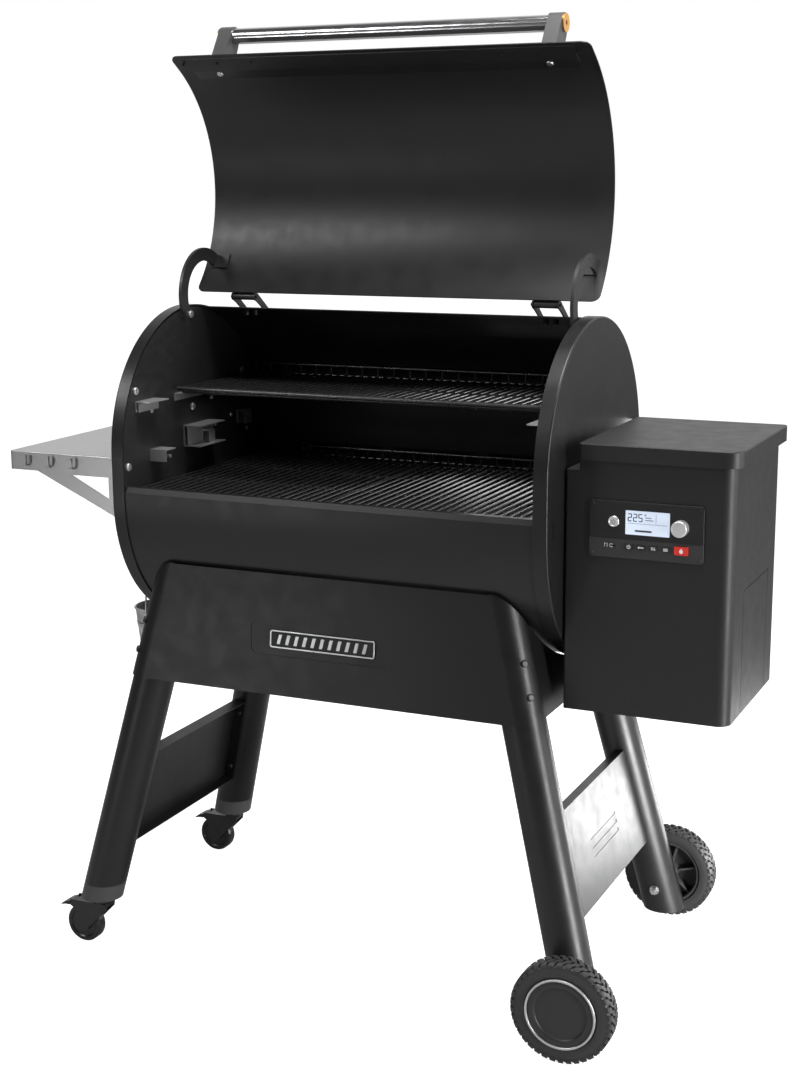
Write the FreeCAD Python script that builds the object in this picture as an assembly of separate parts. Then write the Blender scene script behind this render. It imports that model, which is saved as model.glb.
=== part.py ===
import FreeCAD, Part
import math
import os

# Pellet smoker grill: a horizontal oval barrel with a hinged lid, on a four-legged chassis
# with two casters and two wheels, a pellet hopper with its controller on the right, a side
# shelf on the left and a grease bucket. Millimetres, +Z up, the front faces -Y.
# Everything is drawn about the barrel's middle (X, Y) with the floor at Z = 0, and save()
# moves it so that the origin is the middle of the whole object's footprint.

V = FreeCAD.Vector
BARREL_X = -19.0
BARREL_Y = 6.0

# Barrel: an oval section, two half circles joined by short upright sides
BARREL_HALF = 412.0
RIM_R = 253.4
HALF_STRAIGHT = 40.0
BARREL_Z = 900.6
ARC_TOP_Z = BARREL_Z + HALF_STRAIGHT
ARC_BOTTOM_Z = BARREL_Z - HALF_STRAIGHT
RIM_WIDTH = 25.0
RIM_T = 2.2
SHELL_R = 251.0
SHELL_T = 2.0
REAR_EDGE_DEG = 81.0
FRONT_LIP_Z = 887.0
PANEL_X = 388.0
PANEL_R = 248.6
PANEL_T = 1.5
GAP = 0.2

# Lid and its hinges
LID_HALF = 398.0
LID_R = 259.4
LID_T = 2.0
LID_EDGE_DEG = 76.9
LID_LIP_Z = 900.0
LID_TURN_DEG = 3.1
LID_CORNER = 15.0
HINGE_Y = 45.7
HINGE_Z = 1207.8
LID_OPEN_DEG = 126.3
HINGE_X = 300.0
LEAF_HALF = 21.0
EAR_T = 3.0
PIN_R = 3.0
RUNNING = 0.05
ARM_X = 380.0
ARM_T = 6.0
ARM_R = 74.0
ARM_WIDTH = 24.0
ARM_Y = 32.0
ARM_Z = 1212.0

# Lid handle, up from the lip and out from the lid's front
HANDLE_UP = 43.0
HANDLE_OUT = 71.0
HANDLE_R = 14.0
POST_X = 316.0
POST_HALF = 13.0
POST_R = 17.0

# Chassis: four leaning round legs
CHASSIS_Y = -6.0
LEG_X = 319.6
LEG_Y = 191.0
LEG_TOP_Z = 700.0
LEAN_X = 0.25
LEAN_Y = 0.095
LEG_R = 38.1
LEG_T = 2.5
CASTER_LEG_Z = 127.0
PLUG_Z = 97.0
WHEEL_LEG_Z = 41.0
SKIRT_BOTTOM_Z = 537.0
SKIRT_T = 2.3
COPE_GAP = 4.0
PANEL_OUT = 14.0
SIDE_PANEL_TOP_Z = 365.0
SIDE_PANEL_BOTTOM_Z = 185.0
SIDE_FLANGE = 22.0

# Wheels and casters
WHEEL_R = 88.6
WHEEL_INNER = 299.0
WHEEL_OUTER = 342.0
WHEEL_X = 476.5
RING_R = 61.5
AXLE_R = 6.0
CASTER_R = 36.5
CASTER_WIDTH = 22.0
CASTER_TRAIL = 38.5

# Grates
ROD_PITCH = 17.0
MAIN_Z = 881.0
MAIN_Y0 = -228.0
MAIN_Y1 = 236.0
MAIN_HALF = 371.0
UPPER_Z = 1045.0
UPPER_Y0 = -80.0
UPPER_Y1 = 212.0

# Pellet feed
AUGER_Z = 690.0
FIRE_X = 140.0
AUGER_END_X = 600.0

# Hopper
HOP_X0 = 415.0
HOP_X1 = 695.6
HOP_Y0 = -172.8
HOP_Y1 = 148.9
HOP_Z0 = 553.9
HOP_Z1 = 998.0
HOP_STEP_X = 438.5
HOP_STEP_Z = 960.0
HOP_T = 1.8
HLID_X0 = 436.3
HLID_X1 = 705.0
HLID_Y0 = -179.7
HLID_Y1 = 154.8
HLID_Z0 = 978.0
HLID_Z1 = 1005.0
HHINGE_Y = 159.5
HHINGE_Z = 992.0

# Controller, on the hopper's front
BEZEL_X0 = 457.0
BEZEL_X1 = 647.5
BEZEL_Z0 = 820.5
BEZEL_Z1 = 914.0
BEZEL_T = 3.0
KEY_Z = 840.3
KEY_XS = (524.6, 545.3, 565.6, 586.0)

# Side shelf
SHELF_X0 = -667.0
SHELF_X1 = -418.0
SHELF_Y0 = -208.0
SHELF_Y1 = 188.0
SHELF_Z = 931.0
SHELF_LIP = 35.0
SHELF_T = 1.8

# Grease bucket
BUCKET_X = -477.0
BUCKET_Z = 603.0
BUCKET_R = 54.0
BUCKET_FOOT_R = 38.0
BUCKET_H = 135.0
EAR_DROP = 14.0
HOOK_TIP = 10.0
SPOUT_IN = (-384.0, 0.0, 643.0)
SPOUT_OUT = (-455.0, 0.0, 621.5)
SPOUT_R = 9.0
HOOK_Z = 666.0
HOOK_R = 4.0
BAIL_ARCH_R = 30.0
BAIL_WIRE_R = 2.0


# ---------------------------------------------------------------- helpers

def box(x0, x1, y0, y1, z0, z1):
    return Part.makeBox(x1 - x0, y1 - y0, z1 - z0, V(x0, y0, z0))


def rod(p, q, r):
    a = V(*p)
    d = V(*q) - a
    return Part.makeCylinder(r, d.Length, a, d)


def pipe(p, q, r_out, r_in):
    return rod(p, q, r_out).cut(rod(p, q, r_in))


def cone(p, q, r0, r1):
    a = V(*p)
    d = V(*q) - a
    return Part.makeCone(r0, r1, d.Length, a, d)


def fuse(shapes):
    shapes = list(shapes)
    return shapes[0].multiFuse(shapes[1:]).removeSplitter()


def polygon(points):
    pts = [V(*p) for p in points]
    return Part.Face(Part.makePolygon(pts + [pts[0]]))


def plate_yz(points, x0, x1):
    return polygon([(x0, y, z) for y, z in points]).extrude(V(x1 - x0, 0, 0))


def plate_xz(points, y0, y1):
    return polygon([(x, y0, z) for x, z in points]).extrude(V(0, y1 - y0, 0))


def polar(cy, cz, r, deg):
    a = math.radians(deg)
    return cy + r * math.cos(a), cz + r * math.sin(a)


def arc_x(x, cy, cz, r, a0, a1):
    """Arc edge in the plane X = x, from angle a0 to a1, angles measured from +Y."""
    pts = [V(x, *polar(cy, cz, r, a)) for a in (a0, (a0 + a1) / 2.0, a1)]
    return Part.Arc(*pts).toShape()


def line_x(x, p, q):
    return Part.LineSegment(V(x, *p), V(x, *q)).toShape()


def ring_sector(cy, cz, r_in, r_out, a0, a1, x0, x1):
    """Part of a ring about an X axis, between two angles and two X planes."""
    edges = [arc_x(x0, cy, cz, r_out, a0, a1),
             line_x(x0, polar(cy, cz, r_out, a1), polar(cy, cz, r_in, a1)),
             arc_x(x0, cy, cz, r_in, a1, a0),
             line_x(x0, polar(cy, cz, r_in, a0), polar(cy, cz, r_out, a0))]
    return Part.Face(Part.Wire(edges)).extrude(V(x1 - x0, 0, 0))


def stadium(r, x0, x1):
    """Prism of the barrel's oval section, with arc radius r."""
    edges = [arc_x(x0, 0, ARC_TOP_Z, r, 0, 180),
             line_x(x0, (-r, ARC_TOP_Z), (-r, ARC_BOTTOM_Z)),
             arc_x(x0, 0, ARC_BOTTOM_Z, r, 180, 360),
             line_x(x0, (r, ARC_BOTTOM_Z), (r, ARC_TOP_Z))]
    return Part.Face(Part.Wire(edges)).extrude(V(x1 - x0, 0, 0))


def mirror_x(shape):
    return shape.mirror(V(0, 0, 0), V(1, 0, 0))


def mirror_chassis_y(shape):
    return shape.mirror(V(0, CHASSIS_Y, 0), V(0, 1, 0))


def turned(shape, centre, axis, deg):
    s = shape.copy()
    s.rotate(V(*centre), V(*axis), deg)
    return s


def moved(shape, dx, dy, dz):
    s = shape.copy()
    s.translate(V(dx, dy, dz))
    return s


def swing_open(shape):
    """From the lid's closed place to its open place, in which the grill stands at rest."""
    return turned(shape, (0, HINGE_Y, HINGE_Z), (1, 0, 0), -LID_OPEN_DEG)


def open_lid(shape):
    """The lid is drawn upright, turned a little round the barrel so that its lip meets the
    barrel's front lip when closed, and then swung open."""
    return swing_open(turned(shape, (0, 0, ARC_TOP_Z), (1, 0, 0), LID_TURN_DEG))


def round_edges(shape, radius, wanted):
    """Fillet the edges whose two ends both satisfy wanted(point)."""
    edges = [e for e in shape.Edges if all(wanted(v.Point) for v in e.Vertexes)]
    return shape.makeFillet(radius, edges)


def rounded_plate_xz(x0, x1, z0, z1, y0, y1, radius):
    b = box(x0, x1, y0, y1, z0, z1)
    edges = [e for e in b.Edges if abs(e.tangentAt(e.FirstParameter).y) > 0.99]
    return b.makeFillet(radius, edges)


def bolt_head(p, direction, r, h):
    """Low dome-headed bolt, its head standing h out from p along direction."""
    a = V(*p)
    d = V(*direction).normalize()
    head = Part.makeCylinder(r, h, a, d)
    top = a + d * h
    edges = [e for e in head.Edges if len(e.Vertexes) == 1 and
             e.Curve.TypeId == "Part::GeomCircle" and (e.Curve.Center - top).Length < 0.01]
    return head.makeFillet(0.55 * h, edges)


def save(name, shapes):
    shapes = [moved(s, BARREL_X, BARREL_Y, 0) for s in shapes]
    solids = [s for shape in shapes for s in shape.Solids]
    for s in solids:
        if not s.isValid() or s.Volume <= 0:
            raise ValueError("bad solid in " + name)
    whole = solids[0] if len(solids) == 1 else Part.makeCompound(solids)
    whole.exportStep("parts/" + name + ".step")
    print(name, len(solids), "solids,", round(whole.Volume / 1000.0, 1), "cm3")


# ---------------------------------------------------------------- barrel

def barrel_shell():
    r0 = SHELL_R
    r1 = SHELL_R - SHELL_T
    x = BARREL_HALF - 2.5
    lean = FRONT_LIP_Z - 10.0
    edges = [arc_x(-x, 0, ARC_TOP_Z, r0, REAR_EDGE_DEG, 0),
             line_x(-x, (r0, ARC_TOP_Z), (r0, ARC_BOTTOM_Z)),
             arc_x(-x, 0, ARC_BOTTOM_Z, r0, 0, -180)]
    front = [(-r0, ARC_BOTTOM_Z), (-r0, lean), (-r0 + 4, FRONT_LIP_Z), (-r0 + 16, FRONT_LIP_Z),
             (-r0 + 16, FRONT_LIP_Z - 2), (-r0 + 5.5, FRONT_LIP_Z - 2), (-r1, lean - 0.5),
             (-r1, ARC_BOTTOM_Z)]
    edges += [line_x(-x, p, q) for p, q in zip(front, front[1:])]
    edges += [arc_x(-x, 0, ARC_BOTTOM_Z, r1, -180, 0),
              line_x(-x, (r1, ARC_BOTTOM_Z), (r1, ARC_TOP_Z)),
              arc_x(-x, 0, ARC_TOP_Z, r1, 0, REAR_EDGE_DEG),
              line_x(-x, polar(0, ARC_TOP_Z, r1, REAR_EDGE_DEG),
                     polar(0, ARC_TOP_Z, r0, REAR_EDGE_DEG))]
    shell = Part.Face(Part.Wire(edges)).extrude(V(2 * x, 0, 0))
    slots = [box(sx - 90, sx + 90, r1 - 5, r0 + 5, 888, 904) for sx in (-200, 0, 200)]
    ends = [stadium(PANEL_R + GAP, -x - 1, 0.4 - PANEL_X), stadium(PANEL_R + GAP, PANEL_X - 0.4, x + 1)]
    return shell.cut(Part.makeCompound(slots + ends))


def end_cap(side):
    x1 = BARREL_HALF
    cap = stadium(RIM_R, x1 - RIM_WIDTH, x1)
    cap = round_edges(cap, 3.0, lambda p: p.x > x1 - 0.01)
    cap = cap.cut(stadium(RIM_R - RIM_T, x1 - RIM_WIDTH - 1, x1 - 2))
    if side == "left":
        return mirror_x(cap).cut(rod(SPOUT_IN, SPOUT_OUT, SPOUT_R + GAP))
    slot = box(x1 - 5, x1 + 5, -226, -222, 852, 880)
    return cap.cut(rod((400, 0, AUGER_Z), (420, 0, AUGER_Z), 26.3)).cut(slot)


def inner_panels():
    right = stadium(PANEL_R, PANEL_X, PANEL_X + PANEL_T)
    inner_end = tuple(2 * a - b for a, b in zip(SPOUT_IN, SPOUT_OUT))
    left = mirror_x(right).cut(rod(inner_end, SPOUT_OUT, SPOUT_R + GAP))
    right = right.cut(rod((380, 0, AUGER_Z), (400, 0, AUGER_Z), 26.3))
    return [left, right]


BRACKET_T = 2.0


def ledge(wall, y0, y1, top, out, drop):
    """Folded angle: a narrow shelf over a flange that lies on the wall."""
    return fuse([box(wall, wall + out, y0, y1, top - BRACKET_T, top),
                 box(wall, wall + BRACKET_T, y0, y1, top - drop, top)])


def tabbed_shelf(wall, y0, y1, top, out, tab, drop):
    """Short shelf on the wall with a tab hanging from it, tab mm out from the wall."""
    return fuse([ledge(wall, y0, y1, top, out, drop),
                 box(wall + tab, wall + tab + BRACKET_T, y0, y1, top - drop, top)])


def wall_hardware():
    """Ledges, brackets, probe guard and bolts on the left inner panel."""
    w = -(PANEL_X - 0.1)
    upper_top = UPPER_Z - 10.0
    deep = [box(w, w + 36, -44, 50, z, z + BRACKET_T) for z in (931, 969)]
    deep += [box(w + 8, w + 8 + BRACKET_T, -44, 50, 931, 971), box(w, w + BRACKET_T, -44, 50, 931, 971)]
    parts = [ledge(w, -232, 232, MAIN_Z - 10.4, 15, 16),
             ledge(w, -72, 205, upper_top, 15, 14),
             tabbed_shelf(w, -205, -140, upper_top, 30, 6, 19),
             fuse(deep),
             tabbed_shelf(w + 10.2, 6, 24, 957, 18, 16, 23.8),
             tabbed_shelf(w, 158, 186, 975, 18, 16, 27)]
    guard = box(w, w + 34, -162, -128, 921, 943).cut(box(w + 1.5, w + 40, -160.5, -120, 915, 941.5))
    parts += [guard, rod((w + 1.6, -145, 930), (w + 33, -145, 930), 3.0)]
    parts.append(box(w, w + 26, -120, 120, 811.0, 812.8))
    for y, z in ((-203, 1054), (-235, 921), (182, 1052), (-9, 1003), (-6, 1176)):
        parts.append(bolt_head((w, y, z), (1, 0, 0), 7.0, 3.5))
    for y, z in ((-152, 1012), (62, 1012), (72, 958), (196, 934), (135, 968)):
        parts.append(bolt_head((w, y, z), (1, 0, 0), 4.0, 2.5))
    return parts


def wall_brackets():
    left = wall_hardware()
    right = [mirror_x(p) for p in left[:6] + left[9:]]
    w = PANEL_X - 0.1
    right_rest = box(w - 26, w, -120, 120, 834.5, 836.3)
    return left + [p for p in right] + [right_rest]


def drip_tray():
    floor = [(-376, 813), (376, 837), (376, 839), (-376, 815)]
    tray = [plate_xz(floor, -214, 214)]
    lip = [(-376, 813), (376, 837), (376, 851), (-376, 827)]
    tray += [plate_xz(lip, -216, -214), plate_xz(lip, 214, 216)]
    return fuse(tray)


def heat_baffle():
    z = 770.0
    parts = [box(-40, 320, -150, 150, z, z + 2), box(-40, -38, -150, 150, z - 12, z),
             box(318, 320, -150, 150, z - 12, z), box(-38, 318, -150, -148, z - 12, z),
             box(-38, 318, 148, 150, z - 12, z)]
    for x in (-40, 318):
        for y in (-150, 130):
            parts.append(box(x, x + 2, y, y + 20, 662.4, z))
    return fuse(parts)


def fire_pot():
    r = 62.0
    pot = pipe((FIRE_X, 0, 655), (FIRE_X, 0, 750), r, r - 3)
    pot = fuse([pot, rod((FIRE_X, 0, 652), (FIRE_X, 0, 655), r)])
    foot = box(FIRE_X - 45, FIRE_X + 45, -3, 3, 611.8, 652)
    ways = [(-80 * math.cos(math.radians(a)), 80 * math.sin(math.radians(a))) for a in range(-150, 151, 50)]
    air = [rod((FIRE_X, 0, z), (FIRE_X + dx, dy, z), 3) for z in (664, 712) for dx, dy in ways]
    pot = pot.cut(Part.makeCompound(air))
    pot = pot.cut(rod((FIRE_X + 30, -30, 672), (FIRE_X + 90, -30, 672), 5.3))
    hot_rod = rod((FIRE_X + 34, -30, 672), (FIRE_X + 150, -30, 672), 5.0)
    return [pot, foot, hot_rod]


BIN_T = 1.6
BIN_Y0 = -112.0
BIN_TOP_Z = 975.0
FUNNEL_TOP_Z = 830.0
FUNNEL_LOW_Z = 716.2
THROAT_X = (448.5, 558.5)
THROAT_HALF = 20.0


def rectangle(x0, x1, y0, y1, inset, z):
    return [V(x0 + inset, y0 + inset, z), V(x1 - inset, y0 + inset, z),
            V(x1 - inset, y1 - inset, z), V(x0 + inset, y1 - inset, z)]


def sloping_wall(low_out, low_in, top_out, top_in, i):
    """One flat wall of a funnel, mitred where it meets its neighbours."""
    j = (i + 1) % 4
    low = [low_out[i], low_out[j], low_in[j], low_in[i]]
    top = [top_out[i], top_out[j], top_in[j], top_in[i]]
    return Part.makeLoft([Part.makePolygon(ring + [ring[0]]) for ring in (low, top)], True, True)


def pellet_bin():
    """Hopper liner, its funnel and the tube that the auger turns in, from flat panels."""
    tube = pipe((FIRE_X + 63, 0, AUGER_Z), (AUGER_END_X, 0, AUGER_Z), 26, 24)
    slot_x0, slot_x1 = THROAT_X[0] + 2, THROAT_X[1] - 2
    tube = tube.cut(box(slot_x0, slot_x1, 2 - THROAT_HALF, THROAT_HALF - 2, AUGER_Z, AUGER_Z + 40))
    x0, x1 = HOP_STEP_X + 4, HOP_X1 - 9
    y0, y1 = BIN_Y0, HOP_Y1 - 9
    walls = [box(x0, x1, y0, y0 + BIN_T, FUNNEL_TOP_Z, BIN_TOP_Z),
             box(x0, x1, y1 - BIN_T, y1, FUNNEL_TOP_Z, BIN_TOP_Z),
             box(x0, x0 + BIN_T, y0 + BIN_T, y1 - BIN_T, FUNNEL_TOP_Z, BIN_TOP_Z),
             box(x1 - BIN_T, x1, y0 + BIN_T, y1 - BIN_T, FUNNEL_TOP_Z, BIN_TOP_Z)]
    low = [rectangle(*THROAT_X, -THROAT_HALF, THROAT_HALF, inset, FUNNEL_LOW_Z) for inset in (0, BIN_T)]
    top = [rectangle(x0, x1, y0, y1, inset, FUNNEL_TOP_Z) for inset in (0, BIN_T)]
    slopes = [sloping_wall(low[0], low[1], top[0], top[1], i) for i in range(4)]
    cheeks = [box(*THROAT_X, min(a, b), max(a, b), AUGER_Z + 19.0, FUNNEL_LOW_Z)
              for a, b in ((s * THROAT_HALF, s * (THROAT_HALF - BIN_T)) for s in (-1, 1))]
    return [tube] + walls + slopes + cheeks


def auger_screw():
    shaft = rod((FIRE_X + 66, 0, AUGER_Z), (AUGER_END_X + 7.5, 0, AUGER_Z), 7)
    pitch = 42.0
    length = AUGER_END_X - FIRE_X - 80
    helix = Part.makeLongHelix(pitch, length, 14.0)
    profile = Part.makePolygon([V(6.5, 0, -2), V(22, 0, -1.2), V(22, 0, 1.2), V(6.5, 0, 2), V(6.5, 0, -2)])
    flight = Part.Wire(helix).makePipeShell([profile], True, True)
    flight = turned(flight, (0, 0, 0), (0, 1, 0), 90)
    flight = moved(flight, FIRE_X + 72, 0, AUGER_Z)
    if flight.Volume < 0:
        flight.reverse()
    return [fuse([shaft, flight])]


def auger_motor():
    gearbox = box(AUGER_END_X + 8, AUGER_END_X + 58, -32, 32, 655, 725)
    motor = rod((AUGER_END_X + 58, 0, 680), (AUGER_END_X + 88, 0, 680), 26)
    return [fuse([gearbox, motor])]


FAN_Y = 82.0
FAN_Z = 640.0


def fan_housing():
    case = rod((420, FAN_Y, FAN_Z), (468, FAN_Y, FAN_Z), 50)
    case = case.cut(rod((422, FAN_Y, FAN_Z), (466, FAN_Y, FAN_Z), 48))
    case = case.cut(rod((464, FAN_Y, FAN_Z), (470, FAN_Y, FAN_Z), 30))
    bearing = rod((416, FAN_Y, FAN_Z), (430, FAN_Y, FAN_Z), 3.05)
    stub = rod((418, FAN_Y, FAN_Z), (424, FAN_Y, FAN_Z), 12).cut(bearing)
    return [fuse([case.cut(rod((415, FAN_Y, FAN_Z), (425, FAN_Y, FAN_Z), 11)), stub])]


def fan_impeller():
    parts = [rod((419, FAN_Y, FAN_Z), (462, FAN_Y, FAN_Z), 3)]
    parts.append(rod((430, FAN_Y, FAN_Z), (433, FAN_Y, FAN_Z), 43))
    for i in range(12):
        blade = box(432, 460, FAN_Y + 30, FAN_Y + 42, FAN_Z - 0.8, FAN_Z + 0.8)
        blade = turned(blade, (0, FAN_Y + 36, FAN_Z), (1, 0, 0), 35)
        parts.append(turned(blade, (0, FAN_Y, FAN_Z), (1, 0, 0), 30 * i))
    return [fuse(parts)]


def exhaust_duct():
    """Duct behind the barrel that draws smoke down and out; open underneath."""
    y0 = SHELL_R + GAP
    duct = box(-300, 300, y0, y0 + 50, 845, 930)
    duct = duct.cut(box(-298, 298, y0 - 1, y0 + 48, 844, 928))
    flange = box(-315, 315, y0, y0 + 2, 930, 940)
    return [fuse([duct, flange])]


def rod_grid(x0, x1, y0, y1, z, r, cross_ys):
    """Parallel rods from front to back, welded on cross rods."""
    count = int(round((x1 - x0) / ROD_PITCH))
    step = (x1 - x0) / count
    parts = [rod((x0 + i * step, y0, z), (x0 + i * step, y1, z), r) for i in range(count + 1)]
    for y in cross_ys:
        parts.append(rod((x0 - 2, y, z - r - 3.2), (x1 + 2, y, z - r - 3.2), 4.0))
    return parts


def main_grate(side):
    x0, x1 = (-MAIN_HALF, -3.5) if side == "left" else (3.5, MAIN_HALF)
    parts = rod_grid(x0, x1, MAIN_Y0, MAIN_Y1, MAIN_Z, 3.0, (-212, -75, 75, 224))
    fence_z = MAIN_Z + 17
    parts.append(rod((x0 - 3.3, MAIN_Y1, fence_z), (x1 + 3.3, MAIN_Y1, fence_z), 3.0))
    parts.append(rod((x0 - 3.3, MAIN_Y1, MAIN_Z), (x1 + 3.3, MAIN_Y1, MAIN_Z), 3.4))
    n = int(round((x1 - x0) / (2 * ROD_PITCH)))
    for i in range(n + 1):
        x = x0 + i * (x1 - x0) / n
        parts.append(rod((x, MAIN_Y1, MAIN_Z), (x, MAIN_Y1, fence_z), 2.4))
    parts.append(rod((x0 - 3.3, MAIN_Y0, MAIN_Z), (x1 + 3.3, MAIN_Y0, MAIN_Z), 3.4))
    return [fuse(parts)]


def upper_grate():
    x1 = MAIN_HALF
    parts = rod_grid(-x1, x1, UPPER_Y0, UPPER_Y1, UPPER_Z, 2.6, (UPPER_Y0 + 14, 66, UPPER_Y1 - 12))
    parts.append(rod((-x1 - 4, UPPER_Y0, UPPER_Z), (x1 + 4, UPPER_Y0, UPPER_Z), 4.2))
    parts.append(rod((-x1 - 4, UPPER_Y1, UPPER_Z), (x1 + 4, UPPER_Y1, UPPER_Z), 3.2))
    top = UPPER_Z + 19
    parts.append(rod((-x1 - 4, UPPER_Y1, top), (x1 + 4, UPPER_Y1, top), 2.8))
    n = int(round(x1 / ROD_PITCH))
    for i in range(n + 1):
        x = -x1 + i * 2 * x1 / n
        parts.append(rod((x, UPPER_Y1, UPPER_Z), (x, UPPER_Y1, top), 2.4))
    return [fuse(parts)]


# ---------------------------------------------------------------- lid

def lid_shell():
    r0 = LID_R
    r1 = LID_R - LID_T
    x = -LID_HALF
    a0 = LID_EDGE_DEG
    edges = [arc_x(x, 0, ARC_TOP_Z, r0, a0, 180),
             line_x(x, (-r0, ARC_TOP_Z), (-r0, LID_LIP_Z)),
             line_x(x, (-r0, LID_LIP_Z), (-r1, LID_LIP_Z)),
             line_x(x, (-r1, LID_LIP_Z), (-r1, ARC_TOP_Z)),
             arc_x(x, 0, ARC_TOP_Z, r1, 180, a0),
             line_x(x, polar(0, ARC_TOP_Z, r1, a0), polar(0, ARC_TOP_Z, r0, a0))]
    lid = Part.Face(Part.Wire(edges)).extrude(V(2 * LID_HALF, 0, 0))
    c = LID_CORNER
    rear_y = polar(0, ARC_TOP_Z, r0, a0)[0]
    cuts = []
    for sx in (-1, 1):
        xc = sx * (LID_HALF - c)
        low = box(min(xc, sx * (LID_HALF + 5)), max(xc, sx * (LID_HALF + 5)), -r0 - 5, -r0 + 10,
                  LID_LIP_Z - 5, LID_LIP_Z + c)
        cuts.append(low.cut(rod((xc, -r0 - 10, LID_LIP_Z + c), (xc, -r0 + 15, LID_LIP_Z + c), c)))
        rear = box(min(xc, sx * (LID_HALF + 5)), max(xc, sx * (LID_HALF + 5)), rear_y - c, rear_y + 5,
                   1150, 1230)
        cuts.append(rear.cut(rod((xc, rear_y - c, 1140), (xc, rear_y - c, 1240), c)))
    holes = [rod((sx * POST_X, -r0 - 5, LID_LIP_Z + 50), (sx * POST_X, -r0 + 10, LID_LIP_Z + 50), 3.4)
             for sx in (-1, 1)]
    return [open_lid(lid.cut(Part.makeCompound(cuts + holes)))]


def drawn_from_open(y, z):
    """Where a point of the open lid is on the lid as it is drawn."""
    p = turned(Part.Vertex(0, y, z), (0, HINGE_Y, HINGE_Z), (1, 0, 0), LID_OPEN_DEG)
    p = turned(p, (0, 0, ARC_TOP_Z), (1, 0, 0), -LID_TURN_DEG).Point
    return p.y, p.z


def lid_arm(side):
    """Curved flat arm that reaches from the lid into the barrel; drawn with the lid open."""
    x0 = side * ARM_X - ARM_T / 2.0
    arm = ring_sector(ARM_Y, ARM_Z, ARM_R - ARM_WIDTH / 2, ARM_R + ARM_WIDTH / 2, 30, 200, x0, x0 + ARM_T)
    inside = open_lid(rod((x0 - 1, 0, ARC_TOP_Z), (x0 + ARM_T + 1, 0, ARC_TOP_Z), LID_R - LID_T - GAP))
    arm = arm.common(inside)
    yc, zc = drawn_from_open(*polar(ARM_Y, ARM_Z, ARM_R, 52))
    mid = math.degrees(math.atan2(zc - ARC_TOP_Z, yc))
    foot_r = LID_R - LID_T - GAP
    xf = sorted((side * (ARM_X + ARM_T / 2.0), side * (ARM_X - 30)))
    foot = ring_sector(0, ARC_TOP_Z, foot_r - 3, foot_r, mid - 3.2, mid + 3.2, xf[0], xf[1])
    return fuse([arm, open_lid(foot)])


def hinge_leaf(xc):
    """Lid half of a hinge: a strap on the lid's skin with a rolled knuckle."""
    x0 = xc - LEAF_HALF
    x1 = xc + LEAF_HALF
    a0 = LID_EDGE_DEG + LID_TURN_DEG + 0.5
    strap = ring_sector(0, ARC_TOP_Z, LID_R + GAP, LID_R + GAP + 2.4, a0, a0 + 13, x0, x1)
    zs = ARC_TOP_Z + LID_R
    web = box(x0, x1, HINGE_Y - 6.4, HINGE_Y - 3.6, zs - 4, HINGE_Z)
    web = web.cut(rod((x0 - 1, 0, ARC_TOP_Z), (x1 + 1, 0, ARC_TOP_Z), LID_R + GAP))
    knuckle = rod((x0, HINGE_Y, HINGE_Z), (x1, HINGE_Y, HINGE_Z), 6.4)
    leaf = fuse([strap, web, knuckle])
    bore = rod((x0 - 1, HINGE_Y, HINGE_Z), (x1 + 1, HINGE_Y, HINGE_Z), PIN_R + RUNNING)
    return swing_open(leaf.cut(bore))


def hinge_bracket(xc):
    """Barrel half of a hinge: two ears on a curved foot, the pin and two bolts with nuts."""
    e0 = LEAF_HALF + 1.0
    r0 = SHELL_R + GAP
    base = ring_sector(0, ARC_TOP_Z, r0, r0 + 2.6, 56, 72, xc - e0 - EAR_T, xc + e0 + EAR_T)
    parts = [base]
    top = ARC_TOP_Z
    for s in (-1, 1):
        xa = xc + (e0 if s > 0 else -e0 - EAR_T)
        pts = [(HINGE_Y - 4, HINGE_Z + 5), (HINGE_Y + 6, HINGE_Z + 6), polar(0, top, SHELL_R + 1, 58),
               polar(0, top, SHELL_R + 1, 71.5), (HINGE_Y + 7, HINGE_Z - 11), (HINGE_Y - 1, HINGE_Z - 7)]
        parts.append(plate_yz(pts, xa, xa + EAR_T))
        parts.append(rod((xa, HINGE_Y, HINGE_Z), (xa + EAR_T, HINGE_Y, HINGE_Z), 7.2))
    ears = fuse(parts)
    ears = ears.cut(rod((xc - 60, HINGE_Y, HINGE_Z), (xc + 60, HINGE_Y, HINGE_Z), PIN_R + RUNNING))
    ears = ears.cut(rod((xc - 60, 0, top), (xc + 60, 0, top), SHELL_R + GAP))
    pin = rod((xc - e0 - EAR_T - 3, HINGE_Y, HINGE_Z), (xc + e0 + EAR_T + 3, HINGE_Y, HINGE_Z), PIN_R)
    nuts = []
    for dx in (-9, 9):
        y, z = polar(0, top, SHELL_R - SHELL_T - GAP, 73.5)
        yi, zi = polar(0, top, SHELL_R - SHELL_T - 9, 73.5)
        nuts.append(rod((xc + dx, yi, zi), (xc + dx, y, z), 5.2))
    return [ears, pin] + nuts


def handle_tube():
    y = -LID_R - HANDLE_OUT
    z = LID_LIP_Z + HANDLE_UP
    x = POST_X - POST_HALF
    return [open_lid(pipe((-x, y, z), (x, y, z), HANDLE_R, HANDLE_R - 1.6))]


def handle_post(side):
    y = -LID_R - HANDLE_OUT
    z = LID_LIP_Z + HANDLE_UP
    x0 = side * POST_X - POST_HALF
    pts = [(-LID_R + 20, z - POST_R), (y, z - POST_R), (y, z + POST_R), (-LID_R + 20, z + POST_R + 12)]
    post = fuse([plate_yz(pts, x0, x0 + 2 * POST_HALF), rod((x0, y, z), (x0 + 2 * POST_HALF, y, z), POST_R)])
    post = post.cut(stadium(LID_R + GAP, x0 - 1, x0 + 2 * POST_HALF + 1))
    return open_lid(post)


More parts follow.
